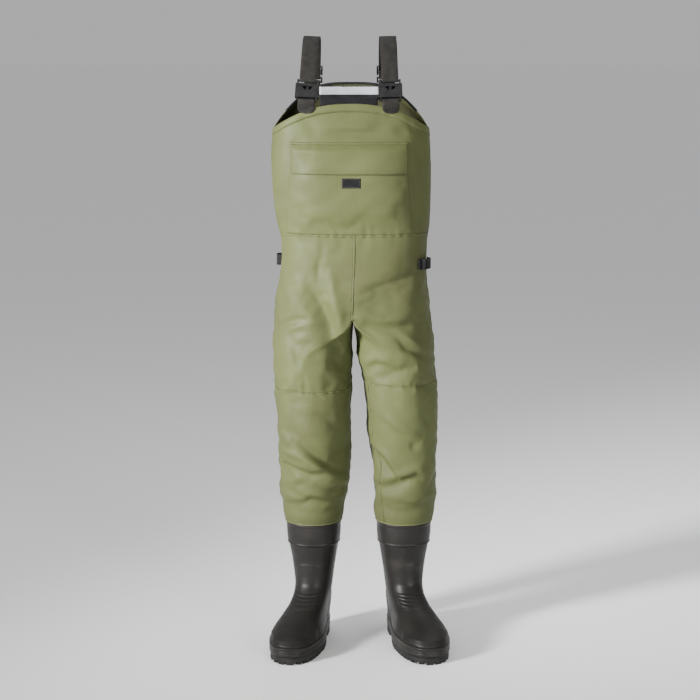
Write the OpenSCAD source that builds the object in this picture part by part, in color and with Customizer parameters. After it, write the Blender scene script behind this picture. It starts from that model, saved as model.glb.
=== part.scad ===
// Chest waders: a nylon bib and trousers welded to rubber boots, held up by elastic braces.
// Millimetres, +Z up. The wearer faces -Y. Names say the wearer's own right (x < 0) and left (x > 0).
// The origin is on the ground, under the middle of the bounding box.

/* [Garment] */
// Height of the bib's front edge at its middle
front_h = 1339; // [1320:1:1350]
// Height of the back panel's edge at its middle
back_h = 1385; // [1370:1:1395]
// Height of the top edge at the side seams
side_h = 1280; // [1260:1:1290]
// Height of the waist seam
waist_h = 1030; // [1020:1:1045]
// Height of the crotch
crotch_h = 830; // [815:1:845]
// Height of the leg's hem on the boot
hem_h = 305; // [304:1:310]
// Thickness of the cloth with its lining and taped seams
cloth_t = 3; // [2.5:0.1:3.5]

/* [Pocket] */
// Height of the flap's hinged edge
flap_h = 1246; // [1240:1:1255]
// Depth of the flap, top to bottom
flap_d = 70; // [60:1:74]
// Half the width of the flap
flap_w = 138; // [130:1:140]
// Half the width of the pouch where it meets the waist seam
pouch_w = 152; // [145:1:153]
// How far the pouch stands off the bib at its fullest
pouch_out = 13; // [11:0.5:15]

/* [Braces] */
// Width of the brace webbing
web_w = 40; // [38:1:40]
// Thickness of the brace webbing
web_t = 2; // [1.6:0.1:2]
// Height of the top of each brace over the shoulder
brace_top = 1497; // [1490:1:1500]
// Angle of each straight run from the vertical
brace_tilt = 27; // [25:0.5:29]
// Width of the buckles
buckle_w = 56; // [54:1:58]

/* [Boots] */
// Length of the foot over the rand
foot_len = 322; // [315:1:325]
// Width of the forefoot over the rand
foot_w = 134; // [130:1:136]
// Height of the top of the rubber shaft, inside the leg
shaft_h = 335; // [332:1:338]
// Thickness of the outsole with its lugs
sole_t = 17; // [15:1:18]
// Depth of the lugs
lug_d = 7; // [5:1:8]
// Thickness of the rubber wall
rubber_t = 4; // [4:0.5:5]

/* [Hidden] */
$fn = 32;

RIGHT = -1;
LEFT = 1;
olive = "#76774d";
webbing = "#47443f";
black = "#26262a";
rubber = "#4d4b47";
sole_colour = "#3a3936";
hair = 0.3;

// ---- Small helpers ----
function mix(a, b, w) = a + (b - a) * w;
function smooth(w) = let (c = min(1, max(0, w))) c * c * (3 - 2 * c);
function spow(v, e) = sign(v) * pow(abs(v), e);
function steps(a, b, n) = [for (i = [0:n]) a + (b - a) * i / n];

// A sheet with thickness: an outer and an inner set of points, the triangles of the outer face,
// and the rim that runs round its edge, anticlockwise as seen from outside. The rim's quads are cut
// along the same diagonal whichever way it runs, so two sheets that share an edge meet exactly.
module sheet(outer, inner, tris, rim) {
    n = len(outer);
    m = len(rim);
    polyhedron(
        points = concat(outer, inner),
        faces = concat(
            tris,
            [for (t = tris) [t[2] + n, t[1] + n, t[0] + n]],
            [for (k = [0:m - 1])
                let (p = rim[k], q = rim[(k + 1) % m])
                each outer[p][2] <= outer[q][2]
                    ? [[p, q, q + n], [p, q + n, p + n]]
                    : [[p, q, p + n], [q, q + n, p + n]]]
        ),
        convexity = 6
    );
}

// Triangles and rim of a grid of r rows and c columns of cells
function cell(a, b, c, d) = [[a, d, c], [a, c, b]];
function grid_tris(r, c) = [for (i = [0:r - 1]) for (j = [0:c - 1])
    let (a = i * (c + 1) + j) each cell(a, a + 1, a + c + 2, a + c + 1)];
function grid_rim(r, c) = concat(
    [for (j = [0:c - 1]) j],
    [for (i = [0:r - 1]) i * (c + 1) + c],
    [for (j = [c:-1:1]) r * (c + 1) + j],
    [for (i = [r:-1:1]) i * (c + 1)]
);

// A patch of cloth from two grids of points, given as lists of rows
module patch(outer_rows, inner_rows) {
    r = len(outer_rows) - 1;
    c = len(outer_rows[0]) - 1;
    sheet([for (row = outer_rows) each row], [for (row = inner_rows) each row],
        grid_tris(r, c), grid_rim(r, c));
}

// A closed ring or tube: rows of points that wrap round, outer and inner, open at both ends
module tube(outer_rows, inner_rows) {
    r = len(outer_rows) - 1;
    c = len(outer_rows[0]);
    n = (r + 1) * c;
    polyhedron(
        points = concat([for (row = outer_rows) each row], [for (row = inner_rows) each row]),
        faces = [
            for (i = [0:r - 1]) for (j = [0:c - 1])
                let (k = (j + 1) % c, a = i * c + j, b = i * c + k, d = a + c, e = b + c)
                each [[a, d, e], [a, e, b], [a + n, e + n, d + n], [a + n, b + n, e + n]],
            for (j = [0:c - 1])
                let (k = (j + 1) % c, t = r * c)
                each [[j, k, k + n], [j, k + n, j + n],
                    [t + j, t + k + n, t + k], [t + j, t + j + n, t + k + n]]
        ],
        convexity = 6
    );
}

// A cup: a tube that is closed at the bottom, with an inner floor
module cup(outer_rows, inner_rows) {
    ro = len(outer_rows) - 1;
    ri = len(inner_rows) - 1;
    c = len(outer_rows[0]);
    n = (ro + 1) * c;
    polyhedron(
        points = concat([for (row = outer_rows) each row], [for (row = inner_rows) each row]),
        faces = [
            for (i = [0:ro - 1]) for (j = [0:c - 1])
                let (k = (j + 1) % c, a = i * c + j, b = i * c + k)
                each [[a, a + c, b + c], [a, b + c, b]],
            for (i = [0:ri - 1]) for (j = [0:c - 1])
                let (k = (j + 1) % c, a = n + i * c + j, b = n + i * c + k)
                each [[a, b + c, a + c], [a, b, b + c]],
            for (j = [0:c - 1])
                let (k = (j + 1) % c, t = ro * c, s = n + ri * c)
                each [[t + j, s + k, t + k], [t + j, s + j, s + k]],
            [for (j = [0:c - 1]) j],
            [for (j = [c - 1:-1:0]) n + j]
        ],
        convexity = 8
    );
}

// ---- Body of the garment ----
mid_y = 46;
split_h = 736;
leg_top = crotch_h;
seam_gap = 0.5;
torso_mid = [[736, -14.5], [861, -16], [1009, -12.5], [1106, -18.5], [1202, -20.5]];
torso_half = [[736, 193], [812, 188.5], [861, 184], [911, 176], [960, 174.5], [1009, 176.5],
    [1058, 185], [1106, 189.5], [1202, 191.5], [1290, 186.5], [1385, 172]];
torso_front = [[736, 114], [861, 122], [960, 116], [1058, 120], [1202, 124], [1290, 120], [1339, 114]];
torso_back = [[736, 118], [861, 126], [960, 116], [1058, 118], [1202, 124], [1290, 116], [1385, 99]];
torso_square = [[736, 2.3], [830, 2.5], [1030, 2.8], [1200, 3.2]];

// A point round the torso: angle 0 at the left side, 90 at the back, 270 at the front
function torso(a, z, out = 0) = let (e = 2 / lookup(z, torso_square)) [
    lookup(z, torso_mid) + (lookup(z, torso_half) + out) * spow(cos(a), e),
    mid_y + (lookup(z, sin(a) < 0 ? torso_front : torso_back) + out) * spow(sin(a), e),
    z
];

// The face of the bib, front or back, at a given x
function face_y(x, z, out, table, dir) = let (
        e = lookup(z, torso_square),
        u = abs(x - lookup(z, torso_mid)) / (lookup(z, torso_half) + out)
    ) mid_y + dir * (lookup(z, table) + out) * pow(1 - pow(u, e), 1 / e);
function front_y(x, z, out = 0) = face_y(x, z, out, torso_front, -1);
function back_y(x, z, out = 0) = face_y(x, z, out, torso_back, 1);

// Height of the top edge, which falls from the middle to the side seams
front_fall = 2.4;
back_fall = 3.5;
function across(a) = pow(abs(cos(a)), 2 / 3.2);
function front_top(a) = front_h - (front_h - side_h) * pow(across(a), front_fall);
function back_top(a) = back_h - (back_h - side_h) * pow(across(a), back_fall);

// Legs: middle and half width by height, for each side
leg_mid_right = [[305, -111], [357, -111], [484, -112.5], [648, -113.5], [736, -113]];
leg_mid_left = [[305, 115.5], [357, 116], [484, 110.5], [574, 105], [648, 100], [736, 86.5]];
leg_half_right = [[305, 72], [357, 79.5], [484, 87.5], [574, 88.5], [648, 92.5], [736, 95]];
leg_half_left = [[305, 71.5], [357, 74], [484, 78.5], [574, 84.5], [648, 86], [736, 92.5]];
leg_deep = [[305, 75], [357, 80], [484, 90], [574, 96], [648, 102], [736, 112]];
leg_y = [[305, 64], [357, 60], [484, 50], [574, 44], [648, 42], [736, 46]];
leg_square = 2 / 2.2;
function leg_mid(s, z) = lookup(z, s < 0 ? leg_mid_right : leg_mid_left);
function leg_half(s, z) = lookup(z, s < 0 ? leg_half_right : leg_half_left);

// Down to the crotch each leg is half the torso, closed by a flat inner wall
function inner_wall(s, a, z, out) = let (
        front = a > 180,
        f = front ? (s < 0 ? a - 270 : 270 - a) / 90 : (s < 0 ? 90 - a : a - 90) / 90,
        gap = (f == 0 && out == 0) ? 0 : seam_gap,
        deep = lookup(z, front ? torso_front : torso_back) + out
    ) [
        lookup(z, torso_mid) + s * (gap - out),
        mid_y + (front ? -1 : 1) * deep * (1 - f),
        z
    ];
function half_torso(s, a, z, out) = (s < 0 ? (a > 90 && a < 270) : (a < 90 || a > 270))
    ? torso(a, z, out)
    : inner_wall(s, a, z, out);
function oval(s, a, z, out) = [
    leg_mid(s, z) + (leg_half(s, z) + out) * spow(cos(a), leg_square),
    lookup(z, leg_y) + (lookup(z, leg_deep) + out) * spow(sin(a), leg_square),
    z
];

// A point round a leg, which ends in the shape of the boot's shaft
hem_out = 6;
hem_blend = 380;
function leg(s, a, z, out = 0) = z >= split_h
    ? mix(half_torso(s, a, z, out), oval(s, a, z, out), smooth((leg_top - z) / (leg_top - split_h)))
    : mix(oval(s, a, z, out), boot(s, s < 0 ? 270 - a : a - 270, min(z, shaft_h), hem_out + out, z),
        smooth((hem_blend - z) / (hem_blend - shaft_h)));

knee_right = 652;
knee_left = 668;
function knee_h(s) = s < 0 ? knee_right : knee_left;
quarter = 7;
bib_rows = 7;
hip_rows = 5;
thigh_rows = 5;
shin_rows = 7;
function thigh_z(s) = steps(knee_h(s), leg_top, thigh_rows);
function shin_z(s) = concat([hem_h], steps(shaft_h, knee_h(s), shin_rows - 1));
hip_z = steps(leg_top, waist_h, hip_rows);

module front_bib() {
    angles = steps(180, 360, 2 * quarter);
    rows = steps(0, 1, bib_rows);
    color(olive)
        patch([for (v = rows) [for (a = angles) torso(a, mix(waist_h, front_top(a), v))]],
            [for (v = rows) [for (a = angles) torso(a, mix(waist_h, front_top(a), v), -cloth_t)]]);
}

module back_bib() {
    angles = steps(0, 180, 2 * quarter);
    rows = steps(0, 1, bib_rows);
    color(olive)
        patch([for (v = rows) [for (a = angles) torso(a, mix(waist_h, back_top(a), v))]],
            [for (v = rows) [for (a = angles) torso(a, mix(waist_h, back_top(a), v), -cloth_t)]]);
}

// A trouser panel: a half tube of leg, and above the crotch a quarter of the torso.
// first is the angle that it starts from, and join the column where the quarter starts.
module trouser(s, first, join, leg_rows) {
    c = 2 * quarter;
    r = len(leg_rows) - 1;
    h = len(hip_z) - 1;
    base = (r + 1) * (c + 1);
    angles = steps(first, first + 180, c);
    function pts(out) = concat(
        [for (z = leg_rows) for (a = angles) leg(s, a, z, out)],
        [for (i = [1:h]) for (j = [0:quarter]) torso(angles[join + j], hip_z[i], out)]
    );
    function up(i, j) = i == 0 ? r * (c + 1) + join + j : base + (i - 1) * (quarter + 1) + j;
    top = r * (c + 1);
    ledge_right = [for (j = [c:-1:quarter + 1]) top + j];
    ledge_left = [for (j = [quarter:-1:1]) top + j];
    sheet(pts(0), pts(-cloth_t),
        concat(grid_tris(r, c), [for (i = [0:h - 1]) for (j = [0:quarter - 1])
            each cell(up(i, j), up(i, j + 1), up(i + 1, j + 1), up(i + 1, j))]),
        concat(
            [for (j = [0:c - 1]) j],
            [for (i = [0:r - 1]) i * (c + 1) + c],
            join == 0 ? ledge_right : [],
            [for (i = [0:h - 1]) up(i, quarter)],
            [for (j = [quarter:-1:1]) up(h, j)],
            [for (i = [h:-1:1]) up(i, 0)],
            join == 0 ? [] : ledge_left,
            [for (i = [r:-1:1]) i * (c + 1)]
        ));
}

module thigh_front(s) {
    color(olive) trouser(s, 180, s < 0 ? 0 : quarter, thigh_z(s));
}

module leg_back(s) {
    all_z = concat(shin_z(s), [for (i = [1:thigh_rows]) thigh_z(s)[i]]);
    color(olive) trouser(s, 0, s < 0 ? quarter : 0, all_z);
}

module shin_front(s) {
    angles = steps(180, 360, 2 * quarter);
    color(olive)
        patch([for (z = shin_z(s)) [for (a = angles) leg(s, a, z)]],
            [for (z = shin_z(s)) [for (a = angles) leg(s, a, z, -cloth_t)]]);
}

// ---- Pocket ----
pocket_mid = -25;
pouch_top = flap_h - 20;
pouch_base = waist_h + 2;
patch_cols = 12;
pouch_cols = 24;
edge_out = 1.4;

// The pouch stands off the bib in the middle, less so at its mouth, and lies on it round its edge
mouth_share = 0.6;
function bulge(u, v) = (1 - pow(abs(u), 4)) * smooth(v * 3) * mix(1, mouth_share, smooth(2 * v - 1));
function pouch_x(u, v) = pocket_mid + u * mix(pouch_w, flap_w - 2, v);
function pouch_pt(u, v, t) = let (
        z = mix(pouch_base, pouch_top, v),
        x = pouch_x(u, v)
    ) [x, front_y(x, z) - edge_out - pouch_out * bulge(u, v) - t, z];

module pocket_pouch() {
    us = steps(-1, 1, pouch_cols);
    vs = steps(0, 1, 6);
    color(olive)
        patch([for (v = vs) [for (u = us) pouch_pt(u, v, cloth_t - 1)]],
            [for (v = vs) [for (u = us) pouch_pt(u, v, 0)]]);
}

// The flap is hinged just above the pouch's mouth and hangs over it
flap_gap = 1.2;
flap_t = 2;
function pouch_v(z) = min(1, (z - pouch_base) / (pouch_top - pouch_base));
function flap_pt(u, v, t) = let (
        z = flap_h - flap_d * v,
        x = pocket_mid + u * flap_w,
        over_pouch = pouch_out * bulge(u, pouch_v(z)) + cloth_t + flap_gap
    ) [x, front_y(x, z) - edge_out - mix(flap_gap, over_pouch, smooth(v * 4)) - t, z];

module pocket_flap() {
    us = steps(-1, 1, patch_cols);
    vs = steps(1, 0, 8);
    color(olive)
        patch([for (v = vs) [for (u = us) flap_pt(u, v, flap_t)]],
            [for (v = vs) [for (u = us) flap_pt(u, v, 0)]]);
}

label_w = 44;
label_z = [1144, 1167];
label_t = 1;
label_mid = -20;
function label_pt(x, z, t) = let (v = pouch_v(z))
    [x, pouch_pt((x - pocket_mid) / mix(pouch_w, flap_w - 2, v), v, cloth_t - 1 + t)[1], z];

module label_patch() {
    xs = steps(label_mid - label_w / 2, label_mid + label_w / 2, 4);
    zs = steps(label_z[0], label_z[1], 2);
    color(black)
        patch([for (z = zs) [for (x = xs) label_pt(x, z, label_t + hair)]],
            [for (z = zs) [for (x = xs) label_pt(x, z, hair)]]);
}

// ---- Inside the bib ----
inner_h = 1353;
inner_base = 1180;
inner_w = 68;
inner_mid = -26;
inner_t = 1.5;

module inner_pocket() {
    xs = steps(inner_mid - inner_w, inner_mid + inner_w, patch_cols);
    zs = steps(inner_base, inner_h, 5);
    in = -cloth_t - 2.6;
    color("#3d3e42")
        patch([for (z = zs) [for (x = xs) [x, front_y(x, z, in), z]]],
            [for (z = zs) [for (x = xs) [x, front_y(x, z, in) + inner_t, z]]]);
}

tape_h = 22;
tape_w = 73;
tape_mid = -25;
module back_tape() {
    xs = steps(tape_mid + tape_w, tape_mid - tape_w, patch_cols);
    zs = steps(back_h - tape_h - 6, back_h - 8, 2);
    in = -cloth_t - 2.2;
    color("#e6e6e4")
        patch([for (z = zs) [for (x = xs) [x, back_y(x, z, in), z]]],
            [for (z = zs) [for (x = xs) [x, back_y(x, z, in) - 1.2, z]]]);
}

binding_h = 3;
module back_binding() {
    angles = [for (j = [3:2 * quarter - 3]) 90 * j / quarter];
    color(black)
        patch([for (v = [0, binding_h]) [for (a = angles) torso(a, back_top(a), 0) + [0, 0, v + 0.1]]],
            [for (v = [0, binding_h]) [for (a = angles) torso(a, back_top(a), -cloth_t) + [0, 0, v + 0.1]]]);
}

// ---- Belt loops: a strip that stands off the cloth between its two sewn ends ----
loop_w = 26;
loop_gap = 13;
loop_half = 17;
loop_end = 28;
module belt_loop_strip() {
    path = [[0, -loop_end], [0, -loop_half - 5], [loop_gap, -loop_half],
        [loop_gap, loop_half], [0, loop_half + 5], [0, loop_end]];
    color(black) translate([0, loop_w / 2, 0]) rotate([90, 0, 0]) linear_extrude(loop_w) ribbon(path, web_t);
}

loop_h = 958;
module right_belt_loop() {
    p = torso(180 - 12, loop_h);
    translate([p[0] - 3.6, p[1], loop_h]) rotate([0, 0, 180]) belt_loop_strip();
}

module left_belt_loop() {
    p = torso(-22, loop_h);
    translate([p[0] + 2.6, p[1] - 1.2, loop_h]) rotate([0, 0, -24]) belt_loop_strip();
}

// ---- Braces ----
// A strip seen from its edge: a path drawn out to both sides
function heading(p, i) = let (
        a = p[max(0, i - 1)], b = p[min(len(p) - 1, i + 1)], d = b - a
    ) d / norm(d);
function edge(p, t) = [for (i = [0:len(p) - 1]) let (d = heading(p, i)) p[i] + t * [-d[1], d[0]]];
module ribbon(p, t) {
    left = edge(p, t / 2);
    right = edge(p, -t / 2);
    polygon(concat(left, [for (i = [len(p) - 1:-1:0]) right[i]]));
}

// Extrudes a side view (depth, height) across the webbing's width
module across_web(w) {
    translate([-w / 2, 0, 0]) rotate([90, 0, 90]) linear_extrude(w) children();
}

brace_x = [-126, 73];
brace_lean = [2.9, -1.3];
brace_yaw = [-2.1, 1.2];
function of_side(s, pair) = pair[s < 0 ? 0 : 1];
fold_z = 1337;
web_gap = web_t / 2 + hair;
tilt_sin = sin(brace_tilt);
tilt_cos = cos(brace_tilt);

// Each brace stands in its own upright plane, just clear of the bib where the tab's inner corner is sewn to it
function brace_at(s) = let (x = of_side(s, brace_x))
    [x, front_y(x - s * (web_w / 2 - 2), fold_z - tab_drop) - web_gap, fold_z];
module brace_frame(s) {
    translate(brace_at(s)) rotate([0, 0, of_side(s, brace_yaw)]) rotate([0, of_side(s, brace_lean), 0]) children();
}
module front_run(s) {
    brace_frame(s) rotate([-brace_tilt, 0, 0]) children();
}

// The back run starts at the back panel's edge
rear_z = 48;
rear_drop = 44;
rear_slope = 0.2;
function rear_y(s) = back_y(of_side(s, brace_x) - s * (web_w / 2 + 6), fold_z + rear_z) + web_gap + 1.4 - brace_at(s)[1];
module back_run(s) {
    brace_frame(s) translate([0, rear_y(s), rear_z]) rotate([brace_tilt, 0, 0]) children();
}
function on_front(y, d) = [y * tilt_cos + d * tilt_sin, d * tilt_cos - y * tilt_sin];
function on_back(s, y, d) = [rear_y(s) + y * tilt_cos - d * tilt_sin, rear_z + d * tilt_cos + y * tilt_sin];

// The two runs meet in an arc over the shoulder, which is tangent to both
function arc_z(s) = let (
        k = (1 - tilt_sin) / (2 * tilt_cos),
        slope = tilt_sin / tilt_cos,
        reach = rear_y(s) + rear_z * slope
    ) (brace_top - fold_z - k * reach) / (1 - 2 * k * slope);
function arc_r(s) = let (slope = tilt_sin / tilt_cos)
    (rear_y(s) + rear_z * slope - 2 * arc_z(s) * slope) / (2 * tilt_cos);
function arc_pts(s) = let (
        c = [arc_z(s) * tilt_sin / tilt_cos + arc_r(s) * tilt_cos, arc_z(s) - arc_r(s) * tilt_sin]
    ) [for (a = steps(180 - brace_tilt, brace_tilt, 12)) c + arc_r(s) * [cos(a), sin(a)]];

// Half a turn round a bar, from one face of the webbing to the other
function round_bar(c, r, from, to) = [for (a = steps(from, to, 6)) c + r * [cos(a), sin(a)]];

bar_r = 1.6;
bar_off = 3;
bar_w = 2 * bar_off;
socket_d = [12, 48];
socket_bar = 14;
plug_bar = 64;
ring_bar = 17;
ring_low = 6;
adjuster_d = 36;
adjuster_half = 11;
buckle_t = 11;

module bar(d, y, w) {
    translate([-w / 2, y, d]) rotate([0, 90, 0]) cylinder(r = bar_r, h = w);
}

// Elastic webbing: round the plug's bar, over the shoulder, round the ring's bar and up to the adjuster
module brace(s) {
    lap = 22;
    path = concat(
        [on_front(bar_w, plug_bar + lap)],
        round_bar(on_front(bar_off, plug_bar), bar_off, -brace_tilt, -brace_tilt - 180),
        [on_front(0, plug_bar + 10)],
        arc_pts(s),
        round_bar(on_back(s, -bar_off, ring_bar), bar_off, brace_tilt, brace_tilt - 180),
        [on_back(s, -bar_w, adjuster_d + 1)]
    );
    color(webbing) brace_frame(s) across_web(web_w) ribbon(path, web_t);
}

// Webbing tab: sewn to the bib's face with a round end, then up and round the socket's bar
tab_drop = 20;
module front_tab(s) {
    path = concat(
        [[0, -tab_drop], [0, 0]],
        round_bar(on_front(bar_off, socket_bar), bar_off, 180 - brace_tilt, -brace_tilt),
        [on_front(bar_w, 3)]
    );
    color(webbing) brace_frame(s) intersection() {
        across_web(web_w) ribbon(path, web_t);
        translate([0, 40, 0]) rotate([90, 0, 0]) linear_extrude(60) union() {
            intersection() {
                translate([0, web_w / 2 - tab_drop - 2]) scale([1, 0.9]) circle(r = web_w / 2, $fn = 64);
                translate([-web_w, -web_w]) square([2 * web_w, web_w]);
            }
            translate([-web_w / 2, -1]) square([web_w, 60]);
        }
    }
}

module back_tab(s) {
    path = concat(
        [[rear_y(s) + rear_drop * rear_slope, rear_z - rear_drop], [rear_y(s), rear_z]],
        round_bar(on_back(s, -bar_off, ring_low), bar_off, brace_tilt, brace_tilt + 180),
        [on_back(s, -bar_w, 3)]
    );
    color(webbing) brace_frame(s) across_web(web_w) ribbon(path, web_t);
}

// Buckle socket: a flat sleeve for the plug's arms, with a bar below it and a window each side
wall = 2.5;
module buckle_socket(s) {
    body = [socket_d[0] + 8, socket_d[1]];
    color(black) front_run(s) {
        difference() {
            translate([-buckle_w / 2, bar_off - buckle_t / 2, body[0]])
                cube([buckle_w, buckle_t, body[1] - body[0]]);
            translate([-buckle_w / 2 + 4, bar_off - buckle_t / 2 + wall, body[0] + 3])
                cube([buckle_w - 8, buckle_t - 2 * wall, body[1]]);
            for (m = [-1, 1])
                translate([m * buckle_w / 2 - 5, bar_off - buckle_t / 2 + wall, body[0] + 6])
                    cube([10, buckle_t - 2 * wall, 13]);
            translate([0, bar_off - buckle_t, body[1] + 2])
                rotate([-90, 0, 0]) cylinder(r = 12, h = buckle_t);
        }
        for (m = [-1, 1])
            translate([m * (web_w / 2 + 3) - 2, bar_off - 3, socket_d[0]]) cube([4, 6, 9]);
        bar(socket_bar, bar_off, web_w + 6);
    }
}

// Buckle plug: two arms and a middle tongue under a shoulder, with the brace's bar above
module buckle_plug(s) {
    neck = socket_d[1] + 0.5;
    arm_t = buckle_t - 2 * wall - 1;
    color(black) front_run(s) {
        translate([-buckle_w / 2, bar_off - buckle_t / 2, neck]) cube([buckle_w, buckle_t, 7]);
        for (m = [-1, 1]) {
            translate([m * (buckle_w / 2 - 7.5) - 3, bar_off - arm_t / 2, socket_d[0] + 13])
                cube([6, arm_t, neck - socket_d[0] - 12]);
            translate([m * (web_w / 2 + 3) - 2, bar_off - 3, neck + 6]) cube([4, 6, plug_bar - neck - 3]);
        }
        translate([-3, bar_off - arm_t / 2, socket_d[0] + 16]) cube([6, arm_t, neck - socket_d[0] - 15]);
        bar(plug_bar, bar_off, web_w + 6);
    }
}

// Adjuster: two rails joined by end bars outside the webbing and a middle bar inside it
module adjuster(s) {
    color(black) back_run(s) {
        for (m = [-1, 1])
            translate([m * (web_w / 2 + 3) - 2, -bar_off - 2, adjuster_d - adjuster_half])
                cube([4, bar_w + 4, 2 * adjuster_half]);
        bar(adjuster_d - adjuster_half + 2, bar_off, web_w + 6);
        bar(adjuster_d, -bar_off, web_w + 6);
        bar(adjuster_d + adjuster_half - 2, bar_off, web_w + 6);
    }
}

module back_ring(s) {
    color(black) back_run(s) {
        for (m = [-1, 1])
            translate([m * (web_w / 2 + 3) - 2, -bar_off - 2, ring_low - 2])
                cube([4, 4, ring_bar - ring_low + 4]);
        bar(ring_low, -bar_off, web_w + 6);
        bar(ring_bar, -bar_off, web_w + 6);
    }
}

// ---- Boots ----
// The foot's own frame: f forwards from the back of the heel, w outwards from its middle line
heel_x = [-94.5, 91.5];
heel_y = 142;
toe_out = [14, 15];
foot_back = [[0, 3], [17, 3], [42, 3], [80, 6], [110, 13], [140, 19], [200, 20], [245, 15], [303, 12], [335, 12]];
foot_front = [[0, -5], [17, -3], [42, -3], [52, -9], [60, -19], [66, -36], [75, -68], [86, -99], [98, -126],
    [112, -150], [128, -170], [150, -183], [200, -186], [245, -179], [303, -174], [335, -174]];
heel_half = [[0, 39], [42, 40], [110, 43], [143, 46], [200, 54], [245, 61.5], [278, 64.5], [335, 65]];
ball_half = [[0, -4], [17, -3], [42, -3], [52, -5], [60, -8], [66, -11], [75, -14], [86, -16], [98, -18], [143, -21]];
foot_bow = [[0, 0], [80, 2], [205, 10], [322, 4]];
foot_square = [[0, 2.5], [66, 2.4], [120, 2.1]];

function ball_share(f, z) = smooth((f - 70) / 135) * (z < 143 ? 1 : 0);
function half_at(f, z) = mix(lookup(z, heel_half), foot_w / 2 + lookup(z, ball_half), ball_share(f, z));
function bow_at(f, z) = lookup(f, foot_bow) * (1 - smooth((z - 60) / 80));
function in_foot(s, f, w) = let (a = of_side(s, toe_out)) [
    of_side(s, heel_x) + s * (f * sin(a) + w * cos(a)),
    heel_y - f * cos(a) + w * sin(a)
];

// A point round the boot: angle 0 at the toe, 90 on the outer side. h is the height that it is set at.
function boot(s, a, z, out = 0, h = undef) = let (
        e = 2 / lookup(z, foot_square),
        back = lookup(z, foot_back),
        front = foot_len + lookup(z, foot_front),
        f = (front + back) / 2 + ((front - back) / 2 + out) * spow(cos(a), e),
        w = bow_at(f, z) + (half_at(f, z) + out) * spow(sin(a), e),
        p = in_foot(s, f, w)
    ) [p[0], p[1], h == undef ? z : h];

// The inside follows the outside of a slightly higher slice, so that the roof of the toe has a wall too
function boot_in(s, a, z, out) = boot(s, a, z - 1.2 * out, out, z);

boot_cols = 28;
boot_turn = [for (j = [0:boot_cols - 1]) 360 * j / boot_cols];
shell_z = [sole_t, 30, 42, 52, 60, 66, 75, 86, 98, 112, 128, 150, 200, 245, 303, shaft_h];
floor_z = sole_t + 7;
hollow_z = [floor_z, 36, 46, 54, 60, 68, 80, 92, 106, 122, 144, 194, 240, 300, shaft_h];
function facing(s, a) = s < 0 ? a : -a;

module boot_shell(s) {
    color(rubber)
        cup([for (z = shell_z) [for (a = boot_turn) boot(s, facing(s, a), z)]],
            [for (z = hollow_z) [for (a = boot_turn) boot_in(s, facing(s, a), z, -rubber_t)]]);
}

lining_cols = 20;
lining_turn = [for (j = [0:lining_cols - 1]) 360 * j / lining_cols];
lining_z = [144, 194, 240, 300, shaft_h - 2];
module boot_lining(s) {
    color("#303034")
        tube([for (z = lining_z) [for (a = lining_turn) boot_in(s, facing(s, a), z, -rubber_t - 1)]],
            [for (z = lining_z) [for (a = lining_turn) boot_in(s, facing(s, a), z, -rubber_t - 2.5)]]);
}

// Outline of the foot at the ground, drawn in plan
module sole_outline(s, out, z = sole_t) {
    polygon([for (a = steps(0, 354, 59)) let (p = boot(s, a, z, out)) [p[0], p[1]]]);
}
// A block across the foot between two distances from the heel
module foot_block(s, f0, f1, z0, z1) {
    p = in_foot(s, f0, 0);
    translate([p[0], p[1], z0]) rotate([0, 0, s * of_side(s, toe_out)])
        translate([-100, f0 - f1, 0]) cube([200, f1 - f0, z1 - z0]);
}

heel_len = 84;
arch_end = 128;
groove = 5.5;
pitch = 17;
module insole(s) {
    color("#55524c") translate([0, 0, floor_z + 0.2]) linear_extrude(4) sole_outline(s, -rubber_t - 9, 36);
}

module outsole(s) {
    tread = foot_len - arch_end;
    color(sole_colour) difference() {
        linear_extrude(sole_t) sole_outline(s, 1);
        foot_block(s, -50, heel_len, -1, sole_t + 1);
        foot_block(s, heel_len - 1, arch_end, -1, lug_d);
        for (k = [1:floor(tread / pitch)])
            foot_block(s, arch_end + k * pitch - groove, arch_end + k * pitch, -1, lug_d);
        for (m = [-2:2])
            translate(concat(in_foot(s, foot_len, m * 24 + 8), -1))
                rotate([0, 0, s * (of_side(s, toe_out) + m * 14)])
                    translate([-groove / 2, -14, 0]) cube([groove, 50, lug_d + 1]);
    }
}

module heel_block(s) {
    color(black) difference() {
        linear_extrude(sole_t) sole_outline(s, 2);
        foot_block(s, heel_len - 0.1, foot_len + 50, -1, sole_t + 1);
        for (k = [1:4])
            foot_block(s, k * pitch - 2, k * pitch - 2 + groove, -1, lug_d);
    }
}

rand_t = 3;
rand_z = [sole_t, 42];
module rand(s) {
    color(rubber)
        tube([for (z = rand_z) [for (a = boot_turn) boot(s, facing(s, a), z, rand_t)]],
            [for (z = rand_z) [for (a = boot_turn) boot(s, facing(s, a), z, 0.1)]]);
}

// A moulded patch on the boot, between two of the shell's own columns
module boot_patch(s, zs, first, last, t) {
    angles = [for (j = [first:last]) 360 * j / boot_cols];
    turned = s < 0 ? angles : [for (i = [len(angles) - 1:-1:0]) angles[i]];
    color(rubber)
        patch([for (z = zs) [for (a = turned) boot(s, a, z, t)]],
            [for (z = zs) [for (a = turned) boot(s, a, z, 0.2)]]);
}
module toe_cap(s) {
    boot_patch(s, [42.2, 52, 60], -5, 5, 2);
}
module heel_counter(s) {
    boot_patch(s, [42.2, 52, 60, 66, 75, 86, 98, 112], 9, 19, 2);
}
module instep_pad(s) {
    boot_patch(s, [98, 112, 128], -4, 4, 2);
}

cuff_z = [245, 274, hem_h - 1.5];
module cuff_band(s) {
    color(rubber)
        tube([for (z = cuff_z) [for (a = boot_turn) boot(s, facing(s, a), z, 4)]],
            [for (z = cuff_z) [for (a = boot_turn) boot(s, facing(s, a), z, 0.1)]]);
}

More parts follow.
